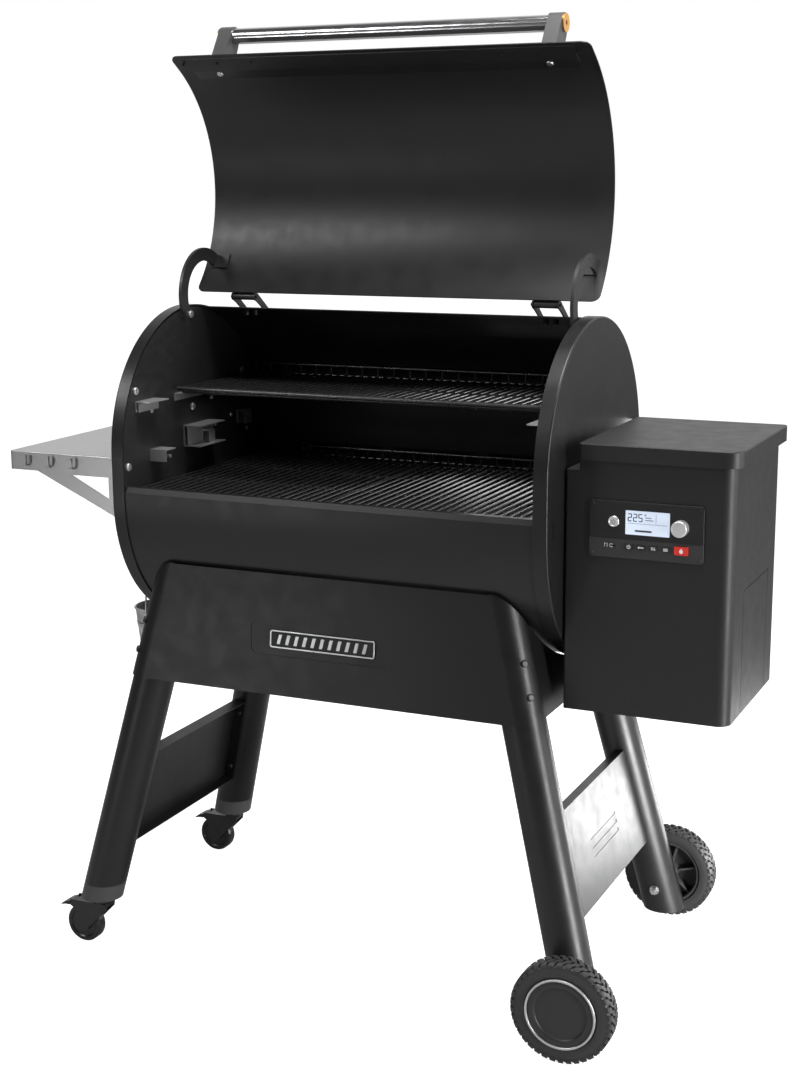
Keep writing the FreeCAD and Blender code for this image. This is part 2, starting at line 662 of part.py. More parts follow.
def handle_disc(side):
    y = -LID_R - HANDLE_OUT
    z = LID_LIP_Z + HANDLE_UP
    x0 = side * (POST_X + POST_HALF)
    x1 = side * (POST_X + POST_HALF + 3)
    disc = rod((x0, y, z), (x1, y, z), 15.8).cut(rod((x0 - 5, y, z), (x0 + 5 * side + 5, y, z), 4.0))
    return open_lid(disc)


def lid_bolts():
    out = []
    for sx in (-1, 1):
        y = -(LID_R - LID_T)
        head = bolt_head((sx * POST_X, y + 0.8, LID_LIP_Z + 50), (0, 1, 0), 6.5, 4.5)
        out.append(open_lid(head))
    return out


# ---------------------------------------------------------------- chassis

def lean_y():
    return math.degrees(math.atan(LEAN_Y))


def leg_point(sx, sy, z):
    d = LEG_TOP_Z - z
    return (sx * (LEG_X + LEAN_X * d), CHASSIS_Y + sy * (LEG_Y + LEAN_Y * d), z)


def leg_rod(sx, sy, z0, z1, r):
    """Cylinder along a leg's axis, cut off level at z0 and z1."""
    body = rod(leg_point(sx, sy, z0 - 40), leg_point(sx, sy, z1 + 40), r)
    x, y, _ = leg_point(sx, sy, (z0 + z1) / 2.0)
    return body.common(box(x - 300, x + 300, y - 300, y + 300, z0, z1))


def leg(sx, sy):
    bottom = CASTER_LEG_Z if sx < 0 else WHEEL_LEG_Z
    tube = leg_rod(sx, sy, bottom, 770, LEG_R).cut(leg_rod(sx, sy, bottom - 5, 775, LEG_R - LEG_T))
    tube = tube.cut(stadium(RIM_R + 1.0, -386, 386))
    if sx > 0:
        _, y, _ = leg_point(sx, sy, WHEEL_R)
        tube = tube.cut(rod((WHEEL_X, y - 60, WHEEL_R), (WHEEL_X, y + 60, WHEEL_R), AXLE_R + 0.1))
    return tube


def leg_plug(sy):
    body = leg_rod(-1, sy, PLUG_Z, CASTER_LEG_Z, LEG_R)
    spigot = leg_rod(-1, sy, CASTER_LEG_Z, CASTER_LEG_Z + 22, LEG_R - LEG_T - 0.1)
    x, y, _ = leg_point(-1, sy, PLUG_Z)
    plug = fuse([body, spigot])
    return plug.cut(rod((x, y, PLUG_Z - 1), (x, y, CASTER_LEG_Z + 4), 5.5 + RUNNING))


def leg_cap(sy):
    """Flush plug in the open end of a wheel-side leg."""
    return leg_rod(1, sy, WHEEL_LEG_Z, WHEEL_LEG_Z + 14.0, LEG_R - LEG_T - 0.1)


def chassis_panel(sy, z_bottom, z_top):
    """Sheet between two legs that wraps round their outer sides, coped to the barrel."""
    r0 = LEG_R + GAP
    r1 = r0 + SKIRT_T
    ca = math.cos(math.atan(LEAN_Y))
    slope = LEAN_X * ca
    w0 = -80.0
    w1 = 240.0
    ztop = LEG_TOP_Z
    flat = plate_xz([(-LEG_X - slope * w0, ztop - w0), (LEG_X + slope * w0, ztop - w0),
                     (LEG_X + slope * w1, ztop - w1), (-LEG_X - slope * w1, ztop - w1)], -r1, -r0)
    tilt = math.degrees(math.atan(slope))
    half = math.sqrt(0.5)
    quarter = Part.Face(Part.Wire([
        Part.Arc(V(0, -r1, 0), V(r1 * half, -r1 * half, 0), V(r1, 0, 0)).toShape(),
        Part.LineSegment(V(r1, 0, 0), V(r0, 0, 0)).toShape(),
        Part.Arc(V(r0, 0, 0), V(r0 * half, -r0 * half, 0), V(0, -r0, 0)).toShape(),
        Part.LineSegment(V(0, -r0, 0), V(0, -r1, 0)).toShape()]))
    wrap = quarter.extrude(V(0, 0, 420))
    wrap.translate(V(0, 0, -310))
    wrap.rotate(V(0, 0, 0), V(0, 1, 0), -tilt)
    wrap.translate(V(LEG_X, 0, ztop))
    sheet = fuse([flat, wrap, mirror_x(wrap)])
    sheet = moved(sheet, 0, CHASSIS_Y - LEG_Y, 0)
    sheet = turned(sheet, (0, CHASSIS_Y - LEG_Y, ztop), (1, 0, 0), -lean_y())
    sheet = sheet.common(box(-900, 900, -900, 0, z_bottom, z_top))
    if sy > 0:
        sheet = mirror_chassis_y(sheet)
    return sheet.cut(stadium(RIM_R + COPE_GAP, -386, 386))


def on_skirt(shape):
    """Moves a piece drawn on the plane Y = 0, facing -Y, onto the front skirt's outer face."""
    s = moved(shape, 0, CHASSIS_Y - LEG_Y - LEG_R - GAP - SKIRT_T, 0)
    return turned(s, (0, CHASSIS_Y - LEG_Y, LEG_TOP_Z), (1, 0, 0), -lean_y())


BADGE_Z = 633.0


def front_skirt():
    recess = rounded_plate_xz(-140, 140, BADGE_Z - 30, BADGE_Z + 30, -1, 1.0, 14)
    return [chassis_panel(-1, SKIRT_BOTTOM_Z, 900).cut(on_skirt(recess))]


def badge_plate():
    """Plain name plate with a raised rim and blank bars."""
    plate = rounded_plate_xz(-101, 101, BADGE_Z - 15.5, BADGE_Z + 15.5, -2.4, 0.9, 4)
    plate = plate.cut(rounded_plate_xz(-98, 98, BADGE_Z - 12.5, BADGE_Z + 12.5, -3, -1.4, 3))
    z0, z1 = BADGE_Z - 6.5, BADGE_Z + 6.5
    bars = [rounded_plate_xz(x - 6, x + 6, z0, z1, -2.4, -1.3, 2) for x in range(-84, 85, 24)]
    return [on_skirt(fuse([plate] + bars))]


def side_plate(sx):
    """Plate between a front and a rear leg, level with the skirts."""
    off = LEG_R + GAP
    ca = math.cos(math.atan(LEAN_X))
    slope = LEAN_Y * ca
    w0 = (LEG_TOP_Z - 690) / ca
    w1 = (LEG_TOP_Z - SKIRT_BOTTOM_Z) / ca
    pts = []
    for w, s in ((w0, -1), (w1, -1), (w1, 1), (w0, 1)):
        pts.append((CHASSIS_Y + s * (LEG_Y + slope * w - 1.5), LEG_TOP_Z - w))
    plate = plate_yz(pts, LEG_X + off, LEG_X + off + SKIRT_T)
    plate = turned(plate, (LEG_X, 0, LEG_TOP_Z), (0, 1, 0), -math.degrees(math.atan(LEAN_X)))
    plate = plate.cut(stadium(RIM_R + 1.0, 300, 420))
    return plate if sx > 0 else mirror_x(plate)


def chassis_plates():
    rear = chassis_panel(1, 585.0, 900)
    return [rear, side_plate(-1), side_plate(1)]


def side_panel(sx):
    """Pressed panel low between two legs, with flanges along its edges."""
    ca = math.cos(math.atan(LEAN_X))
    slope = LEAN_Y * ca
    w0 = (LEG_TOP_Z - SIDE_PANEL_TOP_Z) / ca
    w1 = (LEG_TOP_Z - SIDE_PANEL_BOTTOM_Z) / ca
    t = 2.0

    def edge(w, s, inset):
        return CHASSIS_Y + s * (LEG_Y + slope * w - LEG_R - 0.5 - inset), LEG_TOP_Z - w

    x1 = LEG_X + PANEL_OUT
    outer = plate_yz([edge(w0, -1, 0), edge(w1, -1, 0), edge(w1, 1, 0), edge(w0, 1, 0)], x1 - SIDE_FLANGE, x1)
    inner = plate_yz([edge(w0 + t, -1, t), edge(w1 - t, -1, t), edge(w1 - t, 1, t), edge(w0 + t, 1, t)],
                     x1 - SIDE_FLANGE - 1, x1 - t)
    pan = outer.cut(inner)
    grooves = [box(x1 - 0.8, x1 + 1, CHASSIS_Y - 70, CHASSIS_Y + 70, LEG_TOP_Z - 430 - d, LEG_TOP_Z - 424 - d)
               for d in (0, 16, 32)]
    pan = pan.cut(Part.makeCompound(grooves))
    pan = turned(pan, (LEG_X, 0, LEG_TOP_Z), (0, 1, 0), -math.degrees(math.atan(LEAN_X)))
    return pan if sx > 0 else mirror_x(pan)


def wrap_bolt(z, deg):
    """Bolt on the front skirt's right wrap, square to the leg inside it."""
    p = V(*leg_point(1, -1, z))
    axis = (V(*leg_point(1, -1, z - 100)) - p).normalize()
    a = math.radians(deg)
    out = V(math.sin(a), -math.cos(a), 0)
    out = (out - axis * out.dot(axis)).normalize()
    base = p + out * (LEG_R + GAP + SKIRT_T)
    return bolt_head(tuple(base), tuple(out), 6.2, 4.2)


def chassis_bolts():
    out = []
    for z_front, z_rear in ((630, 645), (575, 606)):
        for turn in (lambda s: s, mirror_x):
            out.append(turn(wrap_bolt(z_front, 50)))
            out.append(turn(mirror_chassis_y(wrap_bolt(z_rear, 50))))
    for sx in (-1, 1):
        for sy in (-1, 1):
            for z in (338, 214):
                x, y, _ = leg_point(sx, sy, z)
                yb = y - sy * (LEG_R + 3.4)
                out.append(bolt_head((x + sx * 2, yb, z), (0, -sy, 0), 5.5, 4.0))
    return out


def hex_nut(x, y, z, radius, length):
    """Nut on an axle along Y, from y to y + length."""
    corners = [V(x + radius * math.cos(math.radians(60 * i)), y, z + radius * math.sin(math.radians(60 * i)))
               for i in range(7)]
    return Part.Face(Part.makePolygon(corners)).extrude(V(0, length, 0))


def wheel_axle(sy):
    """Axle through a leg: a spacer on the wheel's side, a washer and a nut on the other."""
    y_leg = leg_point(1, sy, WHEEL_R)[1]
    y_end = CHASSIS_Y + sy * (WHEEL_OUTER - 10)
    y_washer = y_leg - sy * (LEG_R + 1.5)
    y_nut = y_washer - sy * 1.6
    y_stub = y_nut - sy * 12.0
    axle = rod((WHEEL_X, y_end, WHEEL_R), (WHEEL_X, y_washer, WHEEL_R), AXLE_R)
    washer = rod((WHEEL_X, y_washer, WHEEL_R), (WHEEL_X, y_nut, WHEEL_R), 9.0)
    nut = hex_nut(WHEEL_X, y_nut, WHEEL_R, 7.6, -sy * 6.5)
    stub = rod((WHEEL_X, y_nut, WHEEL_R), (WHEEL_X, y_stub, WHEEL_R), 4.0)
    y_leg_side = y_leg + sy * (LEG_R + 1.5)
    y_wheel_side = CHASSIS_Y + sy * (WHEEL_INNER + 4.0)
    spacer = rod((WHEEL_X, y_leg_side, WHEEL_R), (WHEEL_X, y_wheel_side, WHEEL_R), 11)
    return fuse([axle, washer, nut, stub, spacer])


def revolve_y(profile, x, y, z, sy):
    """Turn a profile of (radius, distance out) points about the wheel's axle."""
    pts = [V(r, sy * o, 0) for r, o in profile]
    face = Part.Face(Part.makePolygon(pts + [pts[0]]))
    solid = face.revolve(V(0, 0, 0), V(0, 1, 0), 360)
    solid.translate(V(x, y, z))
    return solid


def tyre(sy):
    w0 = WHEEL_INNER
    w1 = WHEEL_OUTER - 2.0
    r = WHEEL_R
    ri = RING_R
    profile = [(ri, w0 + 4), (ri + 6, w0 + 1), (r - 9, w0 + 0.5), (r - 3, w0 + 3), (r, w0 + 8),
               (r, w1 - 8), (r - 3, w1 - 3), (r - 9, w1 - 0.5), (ri + 6, w1 - 1), (ri, w1 - 3)]
    return [revolve_y(profile, WHEEL_X, CHASSIS_Y, WHEEL_R, sy)]


def wheel_hub(sy):
    w0 = WHEEL_INNER
    w1 = WHEEL_OUTER
    bore = AXLE_R + RUNNING
    profile = [(bore, w0 + 4.4), (15, w0 + 4.4), (17, w1 - 12), (54, w1 - 12), (56, w0 + 4), (RING_R, w0 + 4),
               (RING_R, w1 - 1.2), (RING_R - 1.2, w1), (RING_R - 4, w1), (RING_R - 4.6, w1 - 3),
               (46, w1 - 4.5), (45, w1 - 3), (0.0, w1 - 2.4), (0.0, w1 - 8), (bore, w1 - 8)]
    hub = revolve_y(profile, WHEEL_X, CHASSIS_Y, WHEEL_R, sy)
    ribs = []
    for i in range(6):
        y_a, y_b = sorted((CHASSIS_Y + sy * (w0 + 12), CHASSIS_Y + sy * (w1 - 11.5)))
        rib = box(WHEEL_X + 14, WHEEL_X + 57, y_a, y_b, WHEEL_R - 2, WHEEL_R + 2)
        ribs.append(turned(rib, (WHEEL_X, 0, WHEEL_R), (0, 1, 0), 60 * i + 15))
    return [fuse([hub] + ribs)]


def caster_axis(sy):
    x, y, _ = leg_point(-1, sy, PLUG_Z)
    return x, y


def caster_fork(sy):
    """Swivel stem over a fork whose cheeks narrow to a round end at the axle."""
    x, y = caster_axis(sy)
    xw = x - CASTER_TRAIL
    half = CASTER_WIDTH / 2.0 + 1.2
    cheek_t = 3.2
    bar_low, bar_top = 77.5, 83.0
    parts = [rod((x, y, bar_top + 1), (x, y, CASTER_LEG_Z + 2), 5.5),
             rod((x, y, bar_top - 1), (x, y, PLUG_Z - 0.3), 16),
             box(xw - 14, x + 17, y - half - cheek_t, y + half + cheek_t, bar_low, bar_top)]
    outline = [(xw - 25, bar_top), (x + 17, bar_top), (x + 16, 73), (xw + 14, CASTER_R - 5),
               (xw - 14, CASTER_R - 5), (xw - 15, 65), (xw - 25, 71)]
    for s in (-1, 1):
        inner, outer = y + s * half, y + s * (half + cheek_t)
        parts.append(plate_xz(outline, min(inner, outer), max(inner, outer)))
        parts.append(rod((xw, inner, CASTER_R), (xw, outer, CASTER_R), 15.0))
    fork = fuse(parts)
    fork = fork.cut(rod((xw, y - 40, CASTER_R), (xw, y + 40, CASTER_R), 4.0 + RUNNING))
    pivot_x, pivot_z = pedal_pivot(sy)
    return [fork.cut(rod((pivot_x, y - 40, pivot_z), (pivot_x, y + 40, pivot_z), 2.0 + RUNNING))]


def pedal_pivot(sy):
    return caster_axis(sy)[0] - CASTER_TRAIL - 20.0, 76.0


def caster_wheel(sy):
    x, y = caster_axis(sy)
    xw = x - CASTER_TRAIL
    h = CASTER_WIDTH / 2.0
    half = h + 1.2 + 3.2
    profile = [(0.0, -half), (4.0, -half), (4.0, -h - 0.6), (12, -h - 0.6), (14, -h + 2), (26, -h + 2), (28, -h),
               (34, -h), (CASTER_R, -h + 3), (CASTER_R, h - 3), (34, h), (28, h), (26, h - 2), (14, h - 2),
               (12, h + 0.6), (4.0, h + 0.6), (4.0, half), (0.0, half)]
    return [revolve_y(profile, xw, y, CASTER_R, 1)]


def brake_lever(sy):
    """Foot pedal: a hood over the wheel that thins to a point, on a pin through the fork."""
    y = caster_axis(sy)[1]
    px, pz = pedal_pivot(sy)
    h = CASTER_WIDTH / 2.0
    root = [(px + 4, pz + 2.5), (px - 7, pz + 3.4), (px - 7, pz - 5), (px + 4, pz - 2)]
    hood = [(px - 7, pz + 3.4), (px - 16, pz + 0.8), (px - 27, pz - 6), (px - 25.5, pz - 7.4),
            (px - 17, pz - 5.4), (px - 7, pz - 5)]
    pin = rod((px, y - h - 4.2, pz), (px, y + h + 4.2, pz), 2.0)
    return [fuse([plate_xz(root, y - h, y + h), plate_xz(hood, y - h - 4.2, y + h + 4.2), pin])]


# ---------------------------------------------------------------- hopper

def upright_edges(shape, points):
    """Upright edges of a shape that stand at the given (x, y) points."""
    out = []
    for e in shape.Edges:
        if abs(e.tangentAt(e.FirstParameter).z) > 0.99:
            p = e.Vertexes[0].Point
            if any(abs(p.x - x) < 0.01 and abs(p.y - y) < 0.01 for x, y in points):
                out.append(e)
    return out


def hopper_block(inset, z0, z1):
    """Upright block of the hopper's outline, narrower above the step on its left."""
    x0, x1 = HOP_X0 + inset, HOP_X1 - inset
    y0, y1 = HOP_Y0 + inset, HOP_Y1 - inset
    b = box(x0, x1, y0, y1, z0, z1)
    b = b.makeFillet(22.0 - inset, upright_edges(b, [(x1, y0), (x1, y1)]))
    b = b.makeFillet(4.0 - inset, upright_edges(b, [(x0, y0), (x0, y1)]))
    return b.cut(box(x0 - 5, HOP_STEP_X + inset, y0 - 5, y1 + 5, HOP_STEP_Z - inset, z1 + 5))


def hopper_body():
    body = hopper_block(0, HOP_Z0, HOP_Z1).cut(hopper_block(HOP_T, HOP_Z0 + HOP_T, HOP_Z1 + 5))
    cuts = [box(BEZEL_X0 + 5, BEZEL_X1 - 5, HOP_Y0 - 1, HOP_Y0 + 5, BEZEL_Z0 + 5, BEZEL_Z1 - 5),
            rod((HOP_X0 - 1, 0, AUGER_Z), (HOP_X0 + 5, 0, AUGER_Z), 26.3),
            box(HOP_X0 - 1, HOP_X0 + 5, 50, 114, 610, 670)]
    cuts += [box(HOP_X1 - 0.9, HOP_X1 + 1, y, y + 1.6, 559, 765) for y in (-93.0, 80.0)]
    cuts.append(box(HOP_X1 - 0.9, HOP_X1 + 1, -93, 81, 764, 765.6))
    cuts += [box(x, x + 6, -80, 40, HOP_Z0 - 1, HOP_Z0 + 5) for x in range(470, 660, 20)]
    cuts += [box(x, x + 5, HOP_Y1 - 5, HOP_Y1 + 1, 590, 640) for x in range(450, 560, 14)]
    body = body.cut(Part.makeCompound(cuts))
    return body


HHINGE_XS = (480.0, 650.0)


def hopper_mounts():
    corners = [(y, z) for y in (-120, 80) for z in (700, 880)]
    return [box(BARREL_HALF + GAP, HOP_X0 - GAP, y, y + 40, z, z + 60) for y, z in corners]


def hopper_hinges():
    """Two lugs on the hopper's back, each with the pin that its lid turns on."""
    out = []
    for xc in HHINGE_XS:
        leaf = box(xc - 22, xc + 22, HOP_Y1 + GAP, HOP_Y1 + 2.4, 950, HHINGE_Z - 8)
        lug = plate_yz([(HOP_Y1 + GAP, 970), (HHINGE_Y - 1, HHINGE_Z - 5), (HHINGE_Y + 4.4, HHINGE_Z - 2),
                        (HHINGE_Y, HHINGE_Z + 1), (HHINGE_Y - 4.4, HHINGE_Z - 1), (HOP_Y1 + GAP, 978)],
                       xc - 22, xc - 8)
        lug = fuse([lug, rod((xc - 22, HHINGE_Y, HHINGE_Z), (xc - 8, HHINGE_Y, HHINGE_Z), 4.4), leaf])
        lug = lug.cut(rod((xc - 40, HHINGE_Y, HHINGE_Z), (xc + 40, HHINGE_Y, HHINGE_Z), 2.0 + RUNNING))
        out += [lug, rod((xc - 22, HHINGE_Y, HHINGE_Z), (xc + 22, HHINGE_Y, HHINGE_Z), 2.0)]
    return out


def hopper_lid():
    def block(inset, z0, z1):
        x0, x1 = HLID_X0 + inset, HLID_X1 - inset
        y0, y1 = HLID_Y0 + inset, HLID_Y1 - inset
        b = box(x0, x1, y0, y1, z0, z1)
        b = b.makeFillet(26.0 - inset, upright_edges(b, [(x1, y0)]))
        return b.makeFillet(8.0 - inset, upright_edges(b, [(x0, y0), (x0, y1), (x1, y1)]))

    lid = block(0, HLID_Z0, HLID_Z1)
    lid = round_edges(lid, 2.5, lambda p: p.z > HLID_Z1 - 0.01)
    lid = lid.cut(block(HOP_T, HLID_Z0 - 5, HLID_Z1 - HOP_T))
    lid = lid.cut(box(HLID_X0 - 1, HLID_X1 + 1, HOP_Y1 - 1, HLID_Y1 + 1, HLID_Z0 - 1, HHINGE_Z + 1))
    parts = [lid]
    for xc in HHINGE_XS:
        parts.append(fuse([box(xc - 7, xc + 20, HLID_Y1 - 0.5, HHINGE_Y, HHINGE_Z + 2, HHINGE_Z + 4.4),
                           rod((xc - 7, HHINGE_Y, HHINGE_Z), (xc + 20, HHINGE_Y, HHINGE_Z), 4.4)]))
    lid = fuse(parts)
    for xc in HHINGE_XS:
        lid = lid.cut(rod((xc - 40, HHINGE_Y, HHINGE_Z), (xc + 40, HHINGE_Y, HHINGE_Z), 2.0 + RUNNING))
    return [lid]


FRONT_Y = HOP_Y0 - 0.1
SCREEN = (518.0, 591.5, 860.5, 900.0)
POWER = (498.5, 880.3)
KNOB = (610.5, 878.0)
IGNITE = (611.6, KEY_Z)


def control_bezel():
    plate = rounded_plate_xz(BEZEL_X0, BEZEL_X1, BEZEL_Z0, BEZEL_Z1, FRONT_Y - BEZEL_T, FRONT_Y, 6)
    plate = round_edges(plate, 0.8, lambda p: p.y < FRONT_Y - BEZEL_T + 0.01)
    cuts = [box(SCREEN[0] - GAP, SCREEN[1] + GAP, -300, -100, SCREEN[2] - GAP, SCREEN[3] + GAP),
            rod((POWER[0], -300, POWER[1]), (POWER[0], -100, POWER[1]), 9.3),
            rod((KNOB[0], -300, KNOB[1]), (KNOB[0], -100, KNOB[1]), 3.0 + RUNNING),
            box(IGNITE[0] - 11.8, IGNITE[0] + 11.8, -300, -100, KEY_Z - 7.3, KEY_Z + 7.3),
            box(BEZEL_X0 + 3, BEZEL_X1 - 3, FRONT_Y - BEZEL_T - 1, FRONT_Y - BEZEL_T + 0.5, 851.4, 852.6),
            box(480.6, 492.6, -300, -100, 838.2, 842.8), rod((500, -300, KEY_Z), (500, -100, KEY_Z), 3.2)]
    cuts += [box(x - 7.3, x + 7.3, -300, -100, KEY_Z - 4.3, KEY_Z + 4.3) for x in KEY_XS]
    return [plate.cut(Part.makeCompound(cuts))]


def display_screen():
    y = FRONT_Y - BEZEL_T
    return [box(SCREEN[0], SCREEN[1], y + 0.6, FRONT_Y + 8, SCREEN[2], SCREEN[3])]


def panel_fittings():
    """Corner screws, the two sockets in the bezel and the power inlet behind."""
    y = FRONT_Y - BEZEL_T
    out = []
    for x in (BEZEL_X0 + 6, BEZEL_X1 - 6):
        for z in (BEZEL_Z0 + 6, BEZEL_Z1 - 6):
            out.append(bolt_head((x, y - 0.05, z), (0, -1, 0), 2.8, 1.0))
    slot = box(482, 491, y - 1, FRONT_Y + 8, 839.4, 841.2)
    socket = box(480.8, 492.4, y + 0.3, FRONT_Y + 10, 838.4, 842.6).cut(slot)
    jack = rod((500, y - 0.4, KEY_Z), (500, FRONT_Y + 12, KEY_Z), 3.0).cut(
        rod((500, y - 2, KEY_Z), (500, FRONT_Y + 8, KEY_Z), 1.6))
    mouth = box(635, 657, HOP_Y1 + 1.5, HOP_Y1 + 6, 591, 607)
    inlet = box(630, 662, HOP_Y1 + GAP, HOP_Y1 + 5, 586, 612).cut(mouth)
    return out + [socket, jack, inlet]


def control_knob():
    y = FRONT_Y - BEZEL_T - 0.5
    x, z = KNOB
    body = rod((x, y, z), (x, y - 16, z), 13.2)
    edges = [e for e in body.Edges if len(e.Vertexes) == 1 and
             e.Curve.TypeId == "Part::GeomCircle" and abs(e.Curve.Center.y - (y - 16)) < 0.01]
    body = body.makeFillet(2.0, edges)
    flutes = [turned(rod((x + 13.6, y + 1, z), (x + 13.6, y - 12, z), 0.8), (x, 0, z), (0, 1, 0), 12 * i)
              for i in range(30)]
    body = body.cut(Part.makeCompound(flutes))
    mark = box(x - 0.6, x + 0.6, y - 17, y - 15.4, z + 5, z + 11)
    return [fuse([body, rod((x, y + 14, z), (x, y - 1, z), 3.0)]).cut(mark)]


def power_button():
    y = FRONT_Y - BEZEL_T
    cap = rod((POWER[0], y - 2.5, POWER[1]), (POWER[0], y + 4, POWER[1]), 9.0)
    edges = [e for e in cap.Edges if len(e.Vertexes) == 1 and
             e.Curve.TypeId == "Part::GeomCircle" and abs(e.Curve.Center.y - (y - 2.5)) < 0.01]
    return [cap.makeFillet(1.0, edges)]


def key(x, half_w, half_h):
    y = FRONT_Y - BEZEL_T
    return [rounded_plate_xz(x - half_w, x + half_w, KEY_Z - half_h, KEY_Z + half_h, y - 1.6, y + 4, 1.2)]


# ---------------------------------------------------------------- shelf and bucket

HOOK_XS = (-627.0, -576.0, -525.0)


def utensil_hook(x):
    """Tab cut from the shelf's apron and bent out and up into a J."""
    y, z, t, r = SHELF_Y0, 905.0, SHELF_T, 6.0
    edges = [line_x(0, (y + t, z), (y - r, z)),
             arc_x(0, y - r, z + r, r, -90, -180),
             line_x(0, (y - 2 * r, z + r), (y - 2 * r, z + 17)),
             line_x(0, (y - 2 * r, z + 17), (y - 2 * r + t, z + 17)),
             line_x(0, (y - 2 * r + t, z + 17), (y - 2 * r + t, z + r)),
             arc_x(0, y - r, z + r, r - t, -180, -90),
             line_x(0, (y - r, z + t), (y + t, z + t)),
             line_x(0, (y + t, z + t), (y + t, z))]
    hook = Part.Face(Part.Wire(edges)).extrude(V(9, 0, 0))
    return moved(hook, x - 4.5, 0, 0)


def side_shelf():
    t = SHELF_T
    z0 = SHELF_Z - SHELF_LIP
    tray = box(SHELF_X0, SHELF_X1, SHELF_Y0, SHELF_Y1, z0, SHELF_Z)
    tray = tray.makeFillet(6.0, upright_edges(tray, [(SHELF_X0, SHELF_Y0), (SHELF_X0, SHELF_Y1)]))
    tray = round_edges(tray, 2.0, lambda p: p.z > SHELF_Z - 0.01)
    hollow = box(SHELF_X0 + t, SHELF_X1 + 1, SHELF_Y0 + t, SHELF_Y1 - t, z0 - 1, SHELF_Z - t)
    tray = tray.cut(hollow)
    for x in HOOK_XS:
        window = rounded_plate_xz(x - 5.5, x + 5.5, 905, 924, SHELF_Y0 - 1, SHELF_Y0 + t + 1, 3)
        tray = fuse([tray.cut(window), utensil_hook(x)])
    return [tray]


def shelf_bracket(y0, y1):
    top = SHELF_Z - SHELF_T - 0.2
    x_cap = -BARREL_HALF - 0.3
    web = plate_xz([(-645, top), (-645, 912), (x_cap, 808), (x_cap, top)], y0, y1)
    window = plate_xz([(-533, 892.5), (-452, 892.5), (-452, 852)], y0 - 1, y1 + 1)
    yf = sorted((y0 if y0 < 0 else y1, (y0 + 24) if y0 < 0 else (y1 - 24)))
    flange = box(x_cap - 2.5, x_cap, yf[0], yf[1], 812, top)
    ledge = box(-640, x_cap, yf[0], yf[1], top - 2.5, top)
    return fuse([web.cut(window), flange, ledge])


def shelf_brackets():
    return [shelf_bracket(SHELF_Y0 + 3.0, SHELF_Y0 + 5.5), shelf_bracket(SHELF_Y1 - 5.5, SHELF_Y1 - 3.0)]


def drain_spout():
    spout = pipe(SPOUT_IN, SPOUT_OUT, SPOUT_R, SPOUT_R - 1.6)
    wall = -BARREL_HALF - 0.3
    tip = BUCKET_X - 9.0
    hook = fuse([rod((wall, 0, HOOK_Z), (tip, 0, HOOK_Z), HOOK_R),
                 rod((tip, 0, HOOK_Z), (tip, 0, HOOK_Z + HOOK_TIP), HOOK_R),
                 rod((wall, 0, HOOK_Z), (wall - 3, 0, HOOK_Z), 14)])
    return [spout, hook]


def grease_bucket():
    top = BUCKET_Z
    low = BUCKET_Z - BUCKET_H
    x = BUCKET_X
    outer = cone((x, 0, low), (x, 0, top), BUCKET_FOOT_R, BUCKET_R - 2)
    inner = cone((x, 0, low + 1.5), (x, 0, top + 1), BUCKET_FOOT_R - 1.3, BUCKET_R - 3.2)
    rim = Part.makeTorus(BUCKET_R - 2, 2.2, V(x, 0, top - 1))
    rim = rim.cut(cone((x, 0, low + 1.5), (x, 0, top + 3), BUCKET_FOOT_R - 1.3, BUCKET_R - 3.2))
    ears = []
    for s in (-1, 1):
        ears.append(rod((x, s * (BUCKET_R - 6), top - EAR_DROP), (x, s * (BUCKET_R + 6), top - EAR_DROP), 2.5))
    bucket = fuse([outer, rim] + ears).cut(inner)
    return [bucket]


def bucket_bail():
    """Wire handle: an eye round each ear, upright sides and an arch over the hook."""
    x = BUCKET_X
    y1 = BUCKET_R + 3.0
    z0 = BUCKET_Z - EAR_DROP
    r = BAIL_ARCH_R
    z1 = HOOK_Z + HOOK_R + BAIL_WIRE_R + 0.2 - r
    wire = [rod((x, s * y1, z0 + 4.2), (x, s * y1, z1 - 10), 2.0) for s in (-1, 1)]
    wire += [rod((x, s * y1, z1 - 10), (x, s * r, z1), 2.0) for s in (-1, 1)]
    wire += [Part.makeSphere(2.0, V(x, s * y1, z1 - 10)) for s in (-1, 1)]
    wire += [Part.makeSphere(2.0, V(x, s * r, z1)) for s in (-1, 1)]
    arch = Part.makeTorus(r, 2.0, V(x, 0, z1), V(1, 0, 0)).common(box(x - 5, x + 5, -40, 40, z1, z1 + 40))
    eyes = []
    for s in (-1, 1):
        ya, yb = s * (y1 - 1.6), s * (y1 + 1.6)
        eyes.append(rod((x, ya, z0), (x, yb, z0), 5.2))
    bail = fuse(wire + [arch] + eyes)
    hole = rod((x, -y1 - 5, z0), (x, y1 + 5, z0), 2.5 + RUNNING)
    return [bail.cut(hole)]


# ---------------------------------------------------------------- write every node

